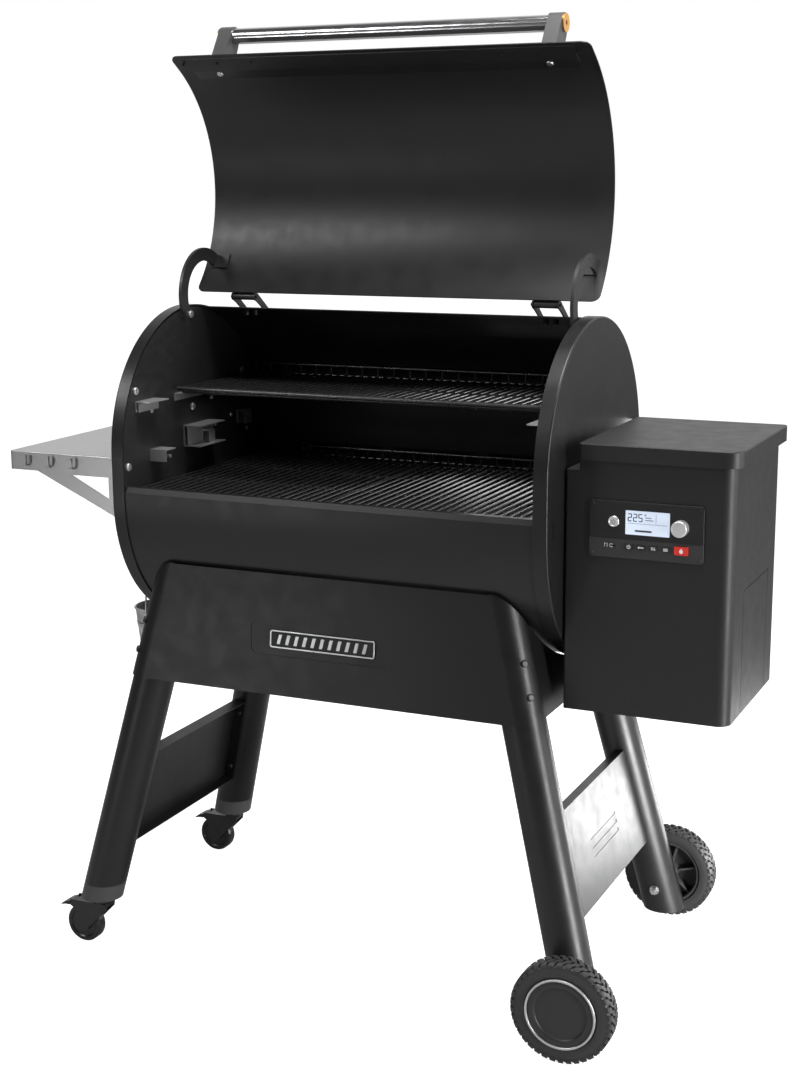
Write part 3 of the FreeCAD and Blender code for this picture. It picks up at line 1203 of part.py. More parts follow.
def build_all():
    os.makedirs("parts", exist_ok=True)
    save("barrel_shell", [barrel_shell()])
    save("end_cap_left", [end_cap("left")])
    save("end_cap_right", [end_cap("right")])
    save("inner_panels", inner_panels())
    save("wall_brackets", wall_brackets())
    save("drip_tray", [drip_tray()])
    save("heat_baffle", [heat_baffle()])
    save("fire_pot", fire_pot())
    save("pellet_bin", pellet_bin())
    save("auger_screw", auger_screw())
    save("auger_motor", auger_motor())
    save("fan_housing", fan_housing())
    save("fan_impeller", fan_impeller())
    save("exhaust_duct", exhaust_duct())
    save("main_grate_left", main_grate("left"))
    save("main_grate_right", main_grate("right"))
    save("upper_grate", upper_grate())

    save("lid_shell", lid_shell())
    save("lid_arms", [lid_arm(-1), lid_arm(1)])
    save("hinge_leaves", [hinge_leaf(-HINGE_X), hinge_leaf(HINGE_X)])
    save("hinge_brackets", hinge_bracket(-HINGE_X) + hinge_bracket(HINGE_X))
    save("handle_tube", handle_tube())
    save("handle_brackets", [handle_post(-1), handle_post(1)])
    save("handle_discs", [handle_disc(-1), handle_disc(1)])
    save("lid_bolts", lid_bolts())

    save("legs", [leg(sx, sy) for sx in (-1, 1) for sy in (-1, 1)])
    save("leg_plugs", [leg_plug(-1), leg_plug(1), leg_cap(-1), leg_cap(1)])
    save("front_skirt", front_skirt())
    save("badge_plate", badge_plate())
    save("chassis_plates", chassis_plates())
    save("side_panels", [side_panel(-1), side_panel(1)])
    save("chassis_bolts", chassis_bolts())
    save("wheel_axles", [wheel_axle(-1), wheel_axle(1)])
    for sy, place in ((-1, "front"), (1, "rear")):
        save("tyre_" + place, tyre(sy))
        save("wheel_hub_" + place, wheel_hub(sy))
        save("caster_fork_" + place, caster_fork(sy))
        save("caster_wheel_" + place, caster_wheel(sy))
        save("brake_lever_" + place, brake_lever(sy))

    save("hopper_body", [hopper_body()])
    save("hopper_lid", hopper_lid())
    save("control_bezel", control_bezel())
    save("display_screen", display_screen())
    save("hopper_fittings", panel_fittings() + hopper_mounts() + hopper_hinges())
    save("control_knob", control_knob())
    save("power_button", power_button())
    for i, x in enumerate(KEY_XS):
        save("menu_key_" + str(i + 1), key(x, 7.0, 4.0))
    save("ignite_button", key(IGNITE[0], 11.5, 7.0))

    save("side_shelf", side_shelf())
    save("shelf_brackets", shelf_brackets())
    save("drain_spout", drain_spout())
    save("grease_bucket", grease_bucket())
    save("bucket_bail", bucket_bail())


build_all()
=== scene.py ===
import math

import bmesh
import bpy
from mathutils import Matrix, Vector


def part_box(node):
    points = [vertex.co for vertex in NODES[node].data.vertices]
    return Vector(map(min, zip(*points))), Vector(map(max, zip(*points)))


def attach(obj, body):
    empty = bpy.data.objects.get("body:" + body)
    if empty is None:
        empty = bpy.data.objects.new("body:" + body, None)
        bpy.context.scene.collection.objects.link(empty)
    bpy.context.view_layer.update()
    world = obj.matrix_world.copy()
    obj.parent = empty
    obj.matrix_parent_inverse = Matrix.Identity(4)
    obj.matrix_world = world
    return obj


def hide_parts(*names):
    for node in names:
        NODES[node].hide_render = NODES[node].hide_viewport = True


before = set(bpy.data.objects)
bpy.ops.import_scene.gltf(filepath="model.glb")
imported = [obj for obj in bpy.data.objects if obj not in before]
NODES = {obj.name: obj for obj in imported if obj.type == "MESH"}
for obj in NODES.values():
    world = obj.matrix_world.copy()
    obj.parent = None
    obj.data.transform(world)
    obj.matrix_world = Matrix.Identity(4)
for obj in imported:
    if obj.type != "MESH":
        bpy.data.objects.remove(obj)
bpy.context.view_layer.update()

# Pellet smoker grill, seen with its lid open. Every length is in metres, in the frame of the
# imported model: +Z up, the cook stands at -Y, and the pellet hopper is at +X.

scene = bpy.context.scene


# ---------------------------------------------------------------- material building

# Sockets that share their name with others are picked by number: the two colours that a
# Mix node takes and the one it gives, and the two shaders that a Mix Shader node takes.
MIX_COLOURS = (6, 7)
MIXED_COLOUR = 2
MIX_SHADERS = (1, 2)
X_AXIS, Y_AXIS = 0, 1


def material(name, colour, roughness, metallic=0.0, **sockets):
    """A Principled material; every uniform value is set on the shader's own socket."""
    mat = bpy.data.materials.new(name)
    mat.use_nodes = True
    shader = mat.node_tree.nodes["Principled BSDF"]
    shader.inputs["Base Color"].default_value = (*colour, 1.0)
    shader.inputs["Roughness"].default_value = roughness
    shader.inputs["Metallic"].default_value = metallic
    for socket, value in sockets.items():
        shader.inputs[socket.replace("_", " ")].default_value = value
    return mat


def shader_of(mat):
    """The material's Principled shader."""
    return mat.node_tree.nodes["Principled BSDF"]


def add(mat, kind, **values):
    """Add a node; values name its sockets, or its own settings."""
    node = mat.node_tree.nodes.new(kind)
    for key, value in values.items():
        if hasattr(node, key):
            setattr(node, key, value)
        else:
            node.inputs[key.replace("_", " ")].default_value = value
    return node


def link(mat, out_socket, in_socket):
    mat.node_tree.links.new(out_socket, in_socket)


def position(mat, scale=(1.0, 1.0, 1.0)):
    """Position on the object, stretched by scale."""
    where = add(mat, "ShaderNodeTexCoord")
    stretch = add(mat, "ShaderNodeMapping", vector_type="POINT")
    stretch.inputs["Scale"].default_value = scale
    link(mat, where.outputs["Object"], stretch.inputs["Vector"])
    return stretch.outputs["Vector"]


def noise(mat, scale, detail=2.0, rough=0.5, stretch=(1.0, 1.0, 1.0)):
    """Factor of a noise with that many cells to a metre."""
    node = add(mat, "ShaderNodeTexNoise", Scale=scale, Detail=detail, Roughness=rough)
    link(mat, position(mat, stretch), node.inputs["Vector"])
    return node.outputs["Fac"]


def spread(mat, factor, low, high, source=(0.3, 0.7)):
    """Map a factor's middle stretch to the range from low to high."""
    node = add(mat, "ShaderNodeMapRange")
    node.inputs["From Min"].default_value = source[0]
    node.inputs["From Max"].default_value = source[1]
    node.inputs["To Min"].default_value = low
    node.inputs["To Max"].default_value = high
    link(mat, factor, node.inputs["Value"])
    return node.outputs["Result"]


def vary(mat, factor, dark, light):
    """Blend the colour from dark to light as the factor rises from 0 to 1."""
    node = add(mat, "ShaderNodeMix", data_type="RGBA")
    link(mat, factor, node.inputs["Factor"])
    for number, colour in zip(MIX_COLOURS, (dark, light)):
        node.inputs[number].default_value = (*colour, 1.0)
    link(mat, node.outputs[MIXED_COLOUR], shader_of(mat).inputs["Base Color"])


def vary_roughness(mat, factor, low, high):
    """Let the roughness follow the factor from low to high."""
    link(mat, spread(mat, factor, low, high), shader_of(mat).inputs["Roughness"])


def bump(mat, height, distance, strength):
    """Raise the surface by height times distance; calls stack up."""
    shader = shader_of(mat)
    node = add(mat, "ShaderNodeBump", Strength=strength, Distance=distance)
    link(mat, height, node.inputs["Height"])
    before = shader.inputs["Normal"].links
    if before:
        link(mat, before[0].from_socket, node.inputs["Normal"])
    link(mat, node.outputs["Normal"], shader.inputs["Normal"])


def tinted(colour, factor):
    """The colour made darker or lighter."""
    return tuple(min(1.0, c * factor) for c in colour)


# ---------------------------------------------------------------- materials

def powder_coat(name, colour, roughness):
    """Satin powder coat: fine orange peel, a slow ripple and slight cloudiness."""
    mat = material(name, colour, roughness, IOR=1.42)
    vary(mat, noise(mat, 9.0, detail=4.0), tinted(colour, 0.82), tinted(colour, 1.2))
    vary_roughness(mat, noise(mat, 30.0, detail=5.0, rough=0.6), roughness - 0.04, roughness + 0.05)
    bump(mat, noise(mat, 14.0, detail=2.0), distance=0.0006, strength=0.12)
    bump(mat, noise(mat, 1100.0, detail=3.0), distance=0.00006, strength=0.35)
    return mat


def brushed(name, colour, roughness, along, depth=0.00004):
    """Brushed metal with its lines along one axis."""
    stretch = [1.0, 1.0, 1.0]
    stretch[along] = 0.02
    mat = material(name, colour, roughness, metallic=1.0)
    lines = noise(mat, 1600.0, detail=2.0, rough=0.6, stretch=tuple(stretch))
    vary(mat, lines, tinted(colour, 0.88), tinted(colour, 1.08))
    vary_roughness(mat, lines, roughness - 0.06, roughness + 0.08)
    bump(mat, lines, depth, strength=0.3)
    return mat


def cast_metal(name, colour, roughness, metallic=1.0):
    """Cast, plated or painted metal with a fine grain."""
    mat = material(name, colour, roughness, metallic)
    vary(mat, noise(mat, 60.0, detail=4.0), tinted(colour, 0.85), tinted(colour, 1.1))
    vary_roughness(mat, noise(mat, 180.0, detail=4.0), roughness - 0.05, roughness + 0.07)
    bump(mat, noise(mat, 500.0, detail=3.0), distance=0.00008, strength=0.3)
    return mat


def plastic(name, colour, roughness, grain=1500.0, depth=0.00005):
    """Moulded plastic or rubber with the fine texture of its mould."""
    mat = material(name, colour, roughness, IOR=1.46)
    vary(mat, noise(mat, 40.0, detail=3.0), tinted(colour, 0.9), tinted(colour, 1.1))
    vary_roughness(mat, noise(mat, 120.0, detail=3.0), roughness - 0.04, roughness + 0.05)
    bump(mat, noise(mat, grain, detail=2.0), depth, strength=0.4)
    return mat


def enamel(name, colour, roughness):
    """Glossy vitreous enamel with a few pinholes and a wet, uneven skin."""
    mat = material(name, colour, roughness, IOR=1.55)
    speck = spread(mat, noise(mat, 700.0, detail=1.0), 0.0, 1.0, source=(0.62, 0.72))
    vary(mat, speck, colour, tinted(colour, 2.2))
    vary_roughness(mat, noise(mat, 80.0, detail=3.0), roughness - 0.06, roughness + 0.1)
    bump(mat, noise(mat, 160.0, detail=3.0), distance=0.0002, strength=0.25)
    return mat


def galvanised(name):
    """Zinc with its flat crystals."""
    mat = material(name, (0.6, 0.61, 0.62), 0.4, metallic=1.0)
    crystals = add(mat, "ShaderNodeTexVoronoi", Scale=110.0, feature="F1")
    link(mat, position(mat), crystals.inputs["Vector"])
    shade = add(mat, "ShaderNodeSeparateColor")
    link(mat, crystals.outputs["Color"], shade.inputs["Color"])
    vary(mat, shade.outputs["Red"], (0.42, 0.43, 0.44), (0.68, 0.69, 0.7))
    vary_roughness(mat, shade.outputs["Green"], 0.3, 0.5)
    bump(mat, noise(mat, 300.0, detail=2.0), distance=0.00006, strength=0.3)
    return mat


def two_tone(name, upper, lower, roughness, border):
    """Plastic that has one colour above the height called border and another below it."""
    mat = plastic(name, upper, roughness)
    height = add(mat, "ShaderNodeSeparateXYZ")
    link(mat, position(mat), height.inputs["Vector"])
    soft = 0.0003
    rise = spread(mat, height.outputs["Z"], 0.0, 1.0, source=(border - soft, border + soft))
    vary(mat, rise, lower, upper)
    return mat


def backlit(name):
    """Liquid-crystal panel: pale, faintly lit and very slightly uneven."""
    mat = material(name, (0.52, 0.58, 0.66), 0.18)
    shader_of(mat).inputs["Emission Color"].default_value = (0.72, 0.82, 1.0, 1.0)
    shader_of(mat).inputs["Emission Strength"].default_value = 0.42
    vary(mat, noise(mat, 30.0, detail=2.0), (0.46, 0.52, 0.62), (0.56, 0.62, 0.70))
    bump(mat, noise(mat, 900.0, detail=1.0), distance=0.00002, strength=0.2)
    return mat


# Height at which the control panel's lower, lighter band ends.
KEY_BAND_TOP = 0.852

MATERIALS = {
    "barrel": powder_coat("barrel_paint", (0.008, 0.008, 0.0085), 0.36),
    "lid": powder_coat("lid_paint", (0.009, 0.009, 0.0095), 0.40),
    "chassis": powder_coat("chassis_paint", (0.007, 0.007, 0.0073), 0.36),
    "hopper": powder_coat("hopper_paint", (0.010, 0.010, 0.0108), 0.46),
    "inside": enamel("inside_enamel", (0.012, 0.012, 0.012), 0.34),
    "grate": enamel("grate_enamel", (0.014, 0.014, 0.0145), 0.2),
    "rack": enamel("rack_enamel", (0.012, 0.012, 0.012), 0.3),
    "bracket": cast_metal("bracket_steel", (0.6, 0.6, 0.61), 0.36, metallic=0.85),
    "hardware": cast_metal("zinc_hardware", (0.6, 0.6, 0.61), 0.3),
    "dark_hardware": cast_metal("dark_hardware", (0.012, 0.012, 0.012), 0.42, metallic=0.0),
    "steel": brushed("brushed_steel", (0.42, 0.42, 0.42), 0.34, Y_AXIS),
    "chrome": brushed("polished_tube", (0.72, 0.72, 0.73), 0.18, X_AXIS, depth=0.000005),
    "handle_grey": powder_coat("handle_grey", (0.05, 0.05, 0.052), 0.42),
    "copper": cast_metal("copper_disc", (0.8, 0.42, 0.1), 0.3),
    "plug": plastic("leg_plug", (0.05, 0.05, 0.052), 0.55),
    "rubber": plastic("tyre_rubber", (0.024, 0.024, 0.025), 0.5, grain=900.0, depth=0.0001),
    "hub": plastic("hub_plastic", (0.03, 0.03, 0.031), 0.5),
    "caster": plastic("caster_plastic", (0.008, 0.008, 0.008), 0.3),
    "bezel": two_tone("bezel_plastic", (0.0085, 0.0085, 0.009), (0.026, 0.026, 0.0275), 0.4,
                      KEY_BAND_TOP),
    "key": plastic("key_rubber", (0.012, 0.012, 0.013), 0.5),
    "red": plastic("ignite_rubber", (0.62, 0.03, 0.02), 0.45),
    "knob": cast_metal("knob_metal", (0.8, 0.8, 0.81), 0.34, metallic=0.8),
    "screen": backlit("screen_glass"),
    "screen_ink": plastic("screen_ink", (0.035, 0.04, 0.05), 0.5),
    "label": plastic("printed_label", (0.75, 0.75, 0.75), 0.5),
    "ring": brushed("wheel_ring", (0.5, 0.5, 0.51), 0.42, Y_AXIS),
    "cap": plastic("wheel_cap", (0.015, 0.015, 0.0155), 0.4),
    "zinc": galvanised("galvanised_sheet"),
    "motor": cast_metal("motor_metal", (0.4, 0.4, 0.42), 0.4),
    "badge": brushed("badge_metal", (0.5, 0.5, 0.51), 0.32, X_AXIS),
}

FINISH = {
    "barrel": ["barrel_shell", "end_cap_left", "end_cap_right", "exhaust_duct"],
    "lid": ["lid_shell"],
    "chassis": ["legs", "front_skirt", "chassis_plates", "side_panels"],
    "hopper": ["hopper_body", "hopper_lid", "pellet_bin"],
    "inside": ["inner_panels", "drip_tray", "heat_baffle", "fire_pot"],
    "grate": ["main_grate_left", "main_grate_right"],
    "rack": ["upper_grate"],
    "bracket": ["wall_brackets"],
    "hardware": ["wheel_axles", "lid_bolts"],
    "dark_hardware": ["hinge_brackets", "hinge_leaves", "chassis_bolts", "lid_arms"],
    "steel": ["side_shelf", "shelf_brackets"],
    "chrome": ["handle_tube"],
    "handle_grey": ["handle_brackets"],
    "copper": ["handle_discs"],
    "plug": ["leg_plugs"],
    "rubber": ["tyre_front", "tyre_rear"],
    "hub": ["wheel_hub_front", "wheel_hub_rear"],
    "caster": ["caster_wheel_front", "caster_wheel_rear", "caster_fork_front", "caster_fork_rear",
               "brake_lever_front", "brake_lever_rear"],
    "bezel": ["control_bezel", "hopper_fittings"],
    "key": ["menu_key_1", "menu_key_2", "menu_key_3", "menu_key_4"],
    "red": ["ignite_button"],
    "knob": ["control_knob", "power_button"],
    "screen": ["display_screen"],
    "zinc": ["grease_bucket", "bucket_bail", "drain_spout"],
    "motor": ["auger_motor", "auger_screw", "fan_housing", "fan_impeller"],
    "badge": ["badge_plate"],
}


def finish_cad_nodes():
    """Give every CAD node its material."""
    for key, names in FINISH.items():
        for name in names:
            slots = NODES[name].data.materials
            slots.clear()
            slots.append(MATERIALS[key])


# ---------------------------------------------------------------- mesh building

SMOOTH_ANGLE = math.radians(32.0)
MERGE = 1e-6
CORNER_STEPS = 4


class Shape:
    """Vertices and faces that grow into one mesh."""

    def __init__(self):
        self.vertices = []
        self.faces = []

    def add(self, vertices, faces):
        start = len(self.vertices)
        self.vertices += [tuple(v) for v in vertices]
        self.faces += [tuple(start + i for i in face) for face in faces]

    def prism(self, outline, low, high, put):
        """Closed prism over a 2-D outline, from depth low to high; put makes a point of it."""
        n = len(outline)
        points = [put(u, v, low) for u, v in outline] + [put(u, v, high) for u, v in outline]
        sides = [(i, (i + 1) % n, n + (i + 1) % n, n + i) for i in range(n)]
        self.add(points, sides + [tuple(range(n))[::-1], tuple(range(n, 2 * n))])

    def frame(self, outer, inner, low, high, put):
        """Closed prism between two outlines that have the same number of points."""
        n = len(outer)
        points = [put(u, v, w) for w in (low, high) for ring in (outer, inner) for u, v in ring]
        faces = []
        for i in range(n):
            j = (i + 1) % n
            faces += [(i, j, 2 * n + j, 2 * n + i), (n + i, 3 * n + i, 3 * n + j, n + j),
                      (i, n + i, n + j, j), (2 * n + i, 2 * n + j, 3 * n + j, 3 * n + i)]
        self.add(points, faces)

    def revolve(self, profile, put, segments=96):
        """Closed turned solid; put makes a point of (radius, distance along, angle)."""
        n = len(profile)
        points = [put(r, o, 2.0 * math.pi * k / segments)
                  for k in range(segments) for r, o in profile]
        faces = []
        for k in range(segments):
            a, b = k * n, ((k + 1) % segments) * n
            faces += [(a + i, a + (i + 1) % n, b + (i + 1) % n, b + i) for i in range(n)]
        self.add(points, faces)


def piece(name, shape, mat, body, slot_name, *stands_for, bevel=0.0):
    """Make a shape a piece that rides on a body and stands for those CAD nodes."""
    mesh = bpy.data.meshes.new(name)
    mesh.from_pydata(shape.vertices, [], shape.faces)
    work = bmesh.new()
    work.from_mesh(mesh)
    bmesh.ops.remove_doubles(work, verts=work.verts, dist=MERGE)
    bmesh.ops.dissolve_degenerate(work, edges=work.edges, dist=MERGE)
    bmesh.ops.recalc_face_normals(work, faces=work.faces)
    work.to_mesh(mesh)
    work.free()
    for face in mesh.polygons:
        face.use_smooth = True
    mesh.set_sharp_from_angle(angle=SMOOTH_ANGLE)
    mesh.materials.append(mat)
    obj = bpy.data.objects.new(name, mesh)
    scene.collection.objects.link(obj)
    if bevel:
        rounding = obj.modifiers.new("edge_rounding", "BEVEL")
        rounding.width = bevel
        rounding.segments = 2
        rounding.limit_method = "ANGLE"
        rounding.angle_limit = SMOOTH_ANGLE
    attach(obj, body)
    if stands_for:
        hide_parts(*stands_for)


def circle(u, v, radius, count):
    """Outline of a circle as that many points."""
    return [(u + radius * math.cos(2.0 * math.pi * i / count),
             v + radius * math.sin(2.0 * math.pi * i / count)) for i in range(count)]


def rectangle(u0, u1, v0, v1, radius=0.0):
    """Outline of a rectangle, with rounded corners where a radius is given."""
    if not radius:
        return [(u0, v0), (u1, v0), (u1, v1), (u0, v1)]
    out = []
    for cu, cv, a0 in ((u1 - radius, v0 + radius, -90), (u1 - radius, v1 - radius, 0),
                       (u0 + radius, v1 - radius, 90), (u0 + radius, v0 + radius, 180)):
        for i in range(CORNER_STEPS + 1):
            a = math.radians(a0 + 90.0 * i / CORNER_STEPS)
            out.append((cu + radius * math.cos(a), cv + radius * math.sin(a)))
    return out


def bar(p, q, width):
    """Outline of a straight bar from p to q."""
    du, dv = q[0] - p[0], q[1] - p[1]
    length = math.hypot(du, dv)
    nu, nv = -dv / length * width / 2.0, du / length * width / 2.0
    return [(p[0] + nu, p[1] + nv), (p[0] - nu, p[1] - nv),
            (q[0] - nu, q[1] - nv), (q[0] + nu, q[1] + nv)]


# ---------------------------------------------------------------- wheels

TYRE_BORE = 0.0615
TREAD_COUNT = 38
TREAD_DEPTH = 0.0042
LUG_ROOT = 0.004

# Shares of the length of a lug, from the middle of the tread outwards: its rows of points,
# where it steps sideways, and where it turns down over the shoulder.
LUG_ROWS = (0.03, 0.3, 0.46, 0.6, 0.84, 0.95, 1.0)
LUG_KNEE = 0.5
SHOULDER = 0.9

# Shares of the pitch from lug to lug: its width, its slant and its sideways step.
LUG_WIDTH = 0.66
LUG_SLANT = 0.55
LUG_STEP = 0.3

# Height of a lug: how far it stays inside the wheel's radius, how much it drops from the
# middle to its end, and its drop at the shoulder and beyond, for each share of its length.
LUG_GAP = 0.0001
LUG_CROWN = 0.0005
SHOULDER_DROP = 0.0012
SHOULDER_FALL = 0.026

HUB_BORE = 0.00605
HUB_RIM = 0.0614
CAP_SEAT = 0.0572
CAP_RADIUS = 0.0570

# Spokes: how many, the angle of the first in degrees, and half their thickness.
SPOKE_COUNT = 6
SPOKE_TURN = 15.0
SPOKE_HALF = 0.002


def wheel_frame(place):
    """Centre, radius, inner and outer face of a wheel, and the way out of the grill."""
    low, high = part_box("tyre_" + place)
    side = -1.0 if place == "front" else 1.0
    centre = (low + high) / 2.0
    inner, outer = (high.y, low.y) if side < 0 else (low.y, high.y)
    return centre, (high.x - low.x) / 2.0, inner, outer, side


def about_axle(centre, inner, side):
    """The put of a wheel: a point of (radius, distance out from the inner face, angle)."""
    def put(r, o, a):
        return (centre.x + r * math.cos(a), inner + side * o, centre.z + r * math.sin(a))
    return put


def lug_row(t, radius, pitch):
    """How far round the wheel a lug leans, and how high it is, at the share t of its length."""
    lean = LUG_SLANT * t * pitch + (LUG_STEP * pitch if t > LUG_KNEE else 0.0)
    if t > SHOULDER:
        return lean, radius - SHOULDER_DROP - SHOULDER_FALL * (t - SHOULDER)
    return lean, radius - LUG_GAP - LUG_CROWN * t * t


def tyre(place):
    """Rubber ring with staggered chevron lugs that wrap over both shoulders."""
    centre, radius, inner, outer, side = wheel_frame(place)
    put = about_axle(centre, inner, side)
    width = abs(outer - inner)
    base = radius - TREAD_DEPTH
    profile = [(TYRE_BORE, 0.005), (TYRE_BORE, width - 0.003), (TYRE_BORE + 0.002, width - 0.0012),
               (TYRE_BORE + 0.007, width - 0.0004), (base - 0.008, width - 0.0006),
               (base - 0.003, width - 0.0022), (base, width - 0.006), (base + 0.0004, width / 2.0),
               (base, 0.006), (base - 0.003, 0.0022), (base - 0.008, 0.0006),
               (TYRE_BORE + 0.007, 0.0004), (TYRE_BORE + 0.002, 0.0012)]
    shape = Shape()
    shape.revolve(profile, put, segments=144)
    pitch = 2.0 * math.pi / TREAD_COUNT
    middle = width / 2.0
    reach = middle - 0.0012
    lug = LUG_WIDTH * pitch
    root = base - LUG_ROOT
    for i in range(TREAD_COUNT):
        for way in (-1.0, 1.0):
            stagger = 0.5 * pitch if way > 0 else 0.0
            points = []
            for t in LUG_ROWS:
                lean, top = lug_row(t, radius, pitch)
                o, a = middle + way * t * reach, i * pitch + stagger + lean
                points += [put(root, o, a), put(top, o, a), put(top, o, a + lug), put(root, o, a + lug)]
            last = len(points) - 4
            faces = [(0, 1, 2, 3), (last + 3, last + 2, last + 1, last)]
            for s in range(0, last, 4):
                faces += [(s + m, s + (m + 1) % 4, s + 4 + (m + 1) % 4, s + 4 + m) for m in range(4)]
            shape.add(points, faces)
    piece("tread_tyre_" + place, shape, MATERIALS["rubber"], "wheel_" + place, "tyre_rubber",
          "tyre_" + place)


def hub(place):
    """Moulded hub with spokes inside, a silver ring and a dished cap outside."""
    centre, _, inner, _, side = wheel_frame(place)
    put = about_axle(centre, inner, side)
    low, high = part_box("wheel_hub_" + place)
    face = abs((low.y if side < 0 else high.y) - inner)

    body = Shape()
    body.revolve([(HUB_BORE, 0.0044), (0.0150, 0.0044), (0.0165, 0.0060), (0.0172, face - 0.0120),
                  (0.0530, face - 0.0120), (0.0560, 0.0060), (0.0568, 0.0040), (HUB_RIM, 0.0040),
                  (HUB_RIM, face - 0.0030), (CAP_SEAT, face - 0.0032), (CAP_SEAT, face - 0.0060),
                  (0.0080, face - 0.0080), (HUB_BORE, face - 0.0080)], put)
    for i in range(SPOKE_COUNT):
        a = math.radians(360.0 / SPOKE_COUNT * i + SPOKE_TURN)
        along = Vector((math.cos(a), 0.0, math.sin(a)))
        across = Vector((-math.sin(a), 0.0, math.cos(a)))

        def spoke(u, v, w, along=along, across=across):
            p = Vector((centre.x, inner + side * v, centre.z)) + along * u + across * w
            return tuple(p)

        body.prism([(0.0155, 0.010), (0.0555, 0.0135), (0.0545, face - 0.0118),
                    (0.0155, face - 0.0118)], -SPOKE_HALF, SPOKE_HALF, spoke)
    piece("hub_body_" + place, body, MATERIALS["hub"], "wheel_" + place, "hub_plastic",
          "wheel_hub_" + place, bevel=0.0005)

    ring = Shape()
    ring.revolve([(CAP_SEAT, face - 0.0050), (HUB_RIM, face - 0.0030), (HUB_RIM, face - 0.0008),
                  (0.0608, face - 0.0001), (0.0580, face - 0.0001), (0.0573, face - 0.0008)], put)
    piece("hub_ring_" + place, ring, MATERIALS["ring"], "wheel_" + place, "hub_plastic")

    cap = Shape()
    cap.revolve([(0.0, face - 0.0035), (0.0200, face - 0.0036), (0.0400, face - 0.0042),
                 (0.0442, face - 0.0046), (0.0462, face - 0.0022), (0.0480, face - 0.0014),
                 (0.0540, face - 0.0016), (0.0565, face - 0.0024), (CAP_RADIUS, face - 0.0040),
                 (CAP_RADIUS, face - 0.0058), (0.0, face - 0.0078)], put)
    piece("hub_cap_" + place, cap, MATERIALS["cap"], "wheel_" + place, "hub_plastic")


# ---------------------------------------------------------------- control panel

PANEL_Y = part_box("control_bezel")[0].y

# Letters of the seven segments that each digit lights.
SEGMENTS = {"2": "abged", "5": "afgcd"}
DIGIT_WIDTH = 0.0055
DIGIT_HEIGHT = 0.0115
DIGIT_PITCH = 0.0088
DIGIT_STROKE = 0.0016
ICON_STROKE = 0.0006

# Places of the two probe jacks: how many key pitches they lie left of the first menu key.
ROUND_JACK = 1.42
SQUARE_JACK = 1.86

# A printed mark starts this deep in its face and stands this far out of it.
INK_ROOT = 0.0004
INK_RISE = 0.00012
MILLIMETRE = 0.001


def panel_put(u, v, w):
    """A point on the control panel: across, up, and out of its face."""
    return (u, PANEL_Y - w, v)


def middle_of(low, high):
    """Middle of a box as the control panel sees it: across and up."""
    return (low.x + high.x) / 2.0, (low.z + high.z) / 2.0


def key_ink(low):
    """Depths between which a mark lies on a key whose box starts at low."""
    face = PANEL_Y - low.y
    return face - INK_ROOT, face + INK_RISE


def seven_segment(shape, digit, left, foot, depth):
    """One digit of straight segments."""
    right, middle, top = left + DIGIT_WIDTH, foot + DIGIT_HEIGHT / 2.0, foot + DIGIT_HEIGHT
    ends = {"a": ((left, top), (right, top)), "b": ((right, top), (right, middle)),
            "c": ((right, middle), (right, foot)), "d": ((left, foot), (right, foot)),
            "e": ((left, middle), (left, foot)), "f": ((left, top), (left, middle)),
            "g": ((left, middle), (right, middle))}
    for name in SEGMENTS[digit]:
        shape.prism(bar(*ends[name], DIGIT_STROKE), *depth, panel_put)


def screen():
    """Backlit display with a temperature and plain marks in place of words."""
    low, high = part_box("display_screen")
    face = PANEL_Y - low.y
    glass = Shape()
    glass.prism(rectangle(low.x, high.x, low.z, high.z, 0.0012), face - 0.006, face, panel_put)
    piece("screen_glass", glass, MATERIALS["screen"], "base", "screen_glass", "display_screen")
    marks = Shape()
    depth = (face - 0.001, face + INK_RISE)
    left = low.x + 0.0045
    for i, digit in enumerate("225"):
        seven_segment(marks, digit, left + i * DIGIT_PITCH, high.z - 0.0170, depth)
    unit = left + 0.0285
    degree_sign = [circle(unit, high.z - 0.0062, radius, 16) for radius in (0.0016, 0.0008)]
    marks.frame(*degree_sign, *depth, panel_put)
    for row, length in ((0.0100, 0.010), (0.0140, 0.013)):
        word = rectangle(unit, unit + length, high.z - row - 0.0011, high.z - row)
        marks.prism(word, *depth, panel_put)
    level_line = rectangle(low.x + 0.004, high.x - 0.004, high.z - 0.0212, high.z - 0.0207)
    upright_line = rectangle(left + 0.0460, left + 0.0465, high.z - 0.0190, high.z - 0.0040)
    foot_bar = rectangle(low.x + 0.016, low.x + 0.044, low.z + 0.0052, low.z + 0.0082, 0.0008)
    for outline in (level_line, upright_line, foot_bar):
        marks.prism(outline, *depth, panel_put)
    piece("screen_marks", marks, MATERIALS["screen_ink"], "base", "screen_glass")


def clock(icon, u, v, depth):
    """Ring with two hands."""
    icon.frame(circle(u, v, 0.0030, 24), circle(u, v, 0.0023, 24), *depth, panel_put)
    icon.prism(bar((u, v - 0.0003), (u, v + 0.0018), ICON_STROKE), *depth, panel_put)
    icon.prism(bar((u, v), (u + 0.0014, v), ICON_STROKE), *depth, panel_put)


def probe(icon, u, v, depth):
    """Round head on a straight stem."""
    icon.prism(circle(u - 0.0036, v, 0.0015, 20), *depth, panel_put)
    icon.prism(rectangle(u - 0.0030, u + 0.0046, v - 0.0005, v + 0.0005), *depth, panel_put)


def steam(icon, u, v, depth):
    """Three wavy wisps side by side."""
    sway, foot, step, half = 0.0007, 0.0026, 0.00087, 0.0004
    for shift in (-0.0026, 0.0, 0.0026):
        line = [(u + shift + sway * math.sin(t * math.pi / 3.0), v - foot + step * t) for t in range(7)]
        outline = [(x - half, z) for x, z in line] + [(x + half, z) for x, z in reversed(line)]
        icon.prism(outline, *depth, panel_put)


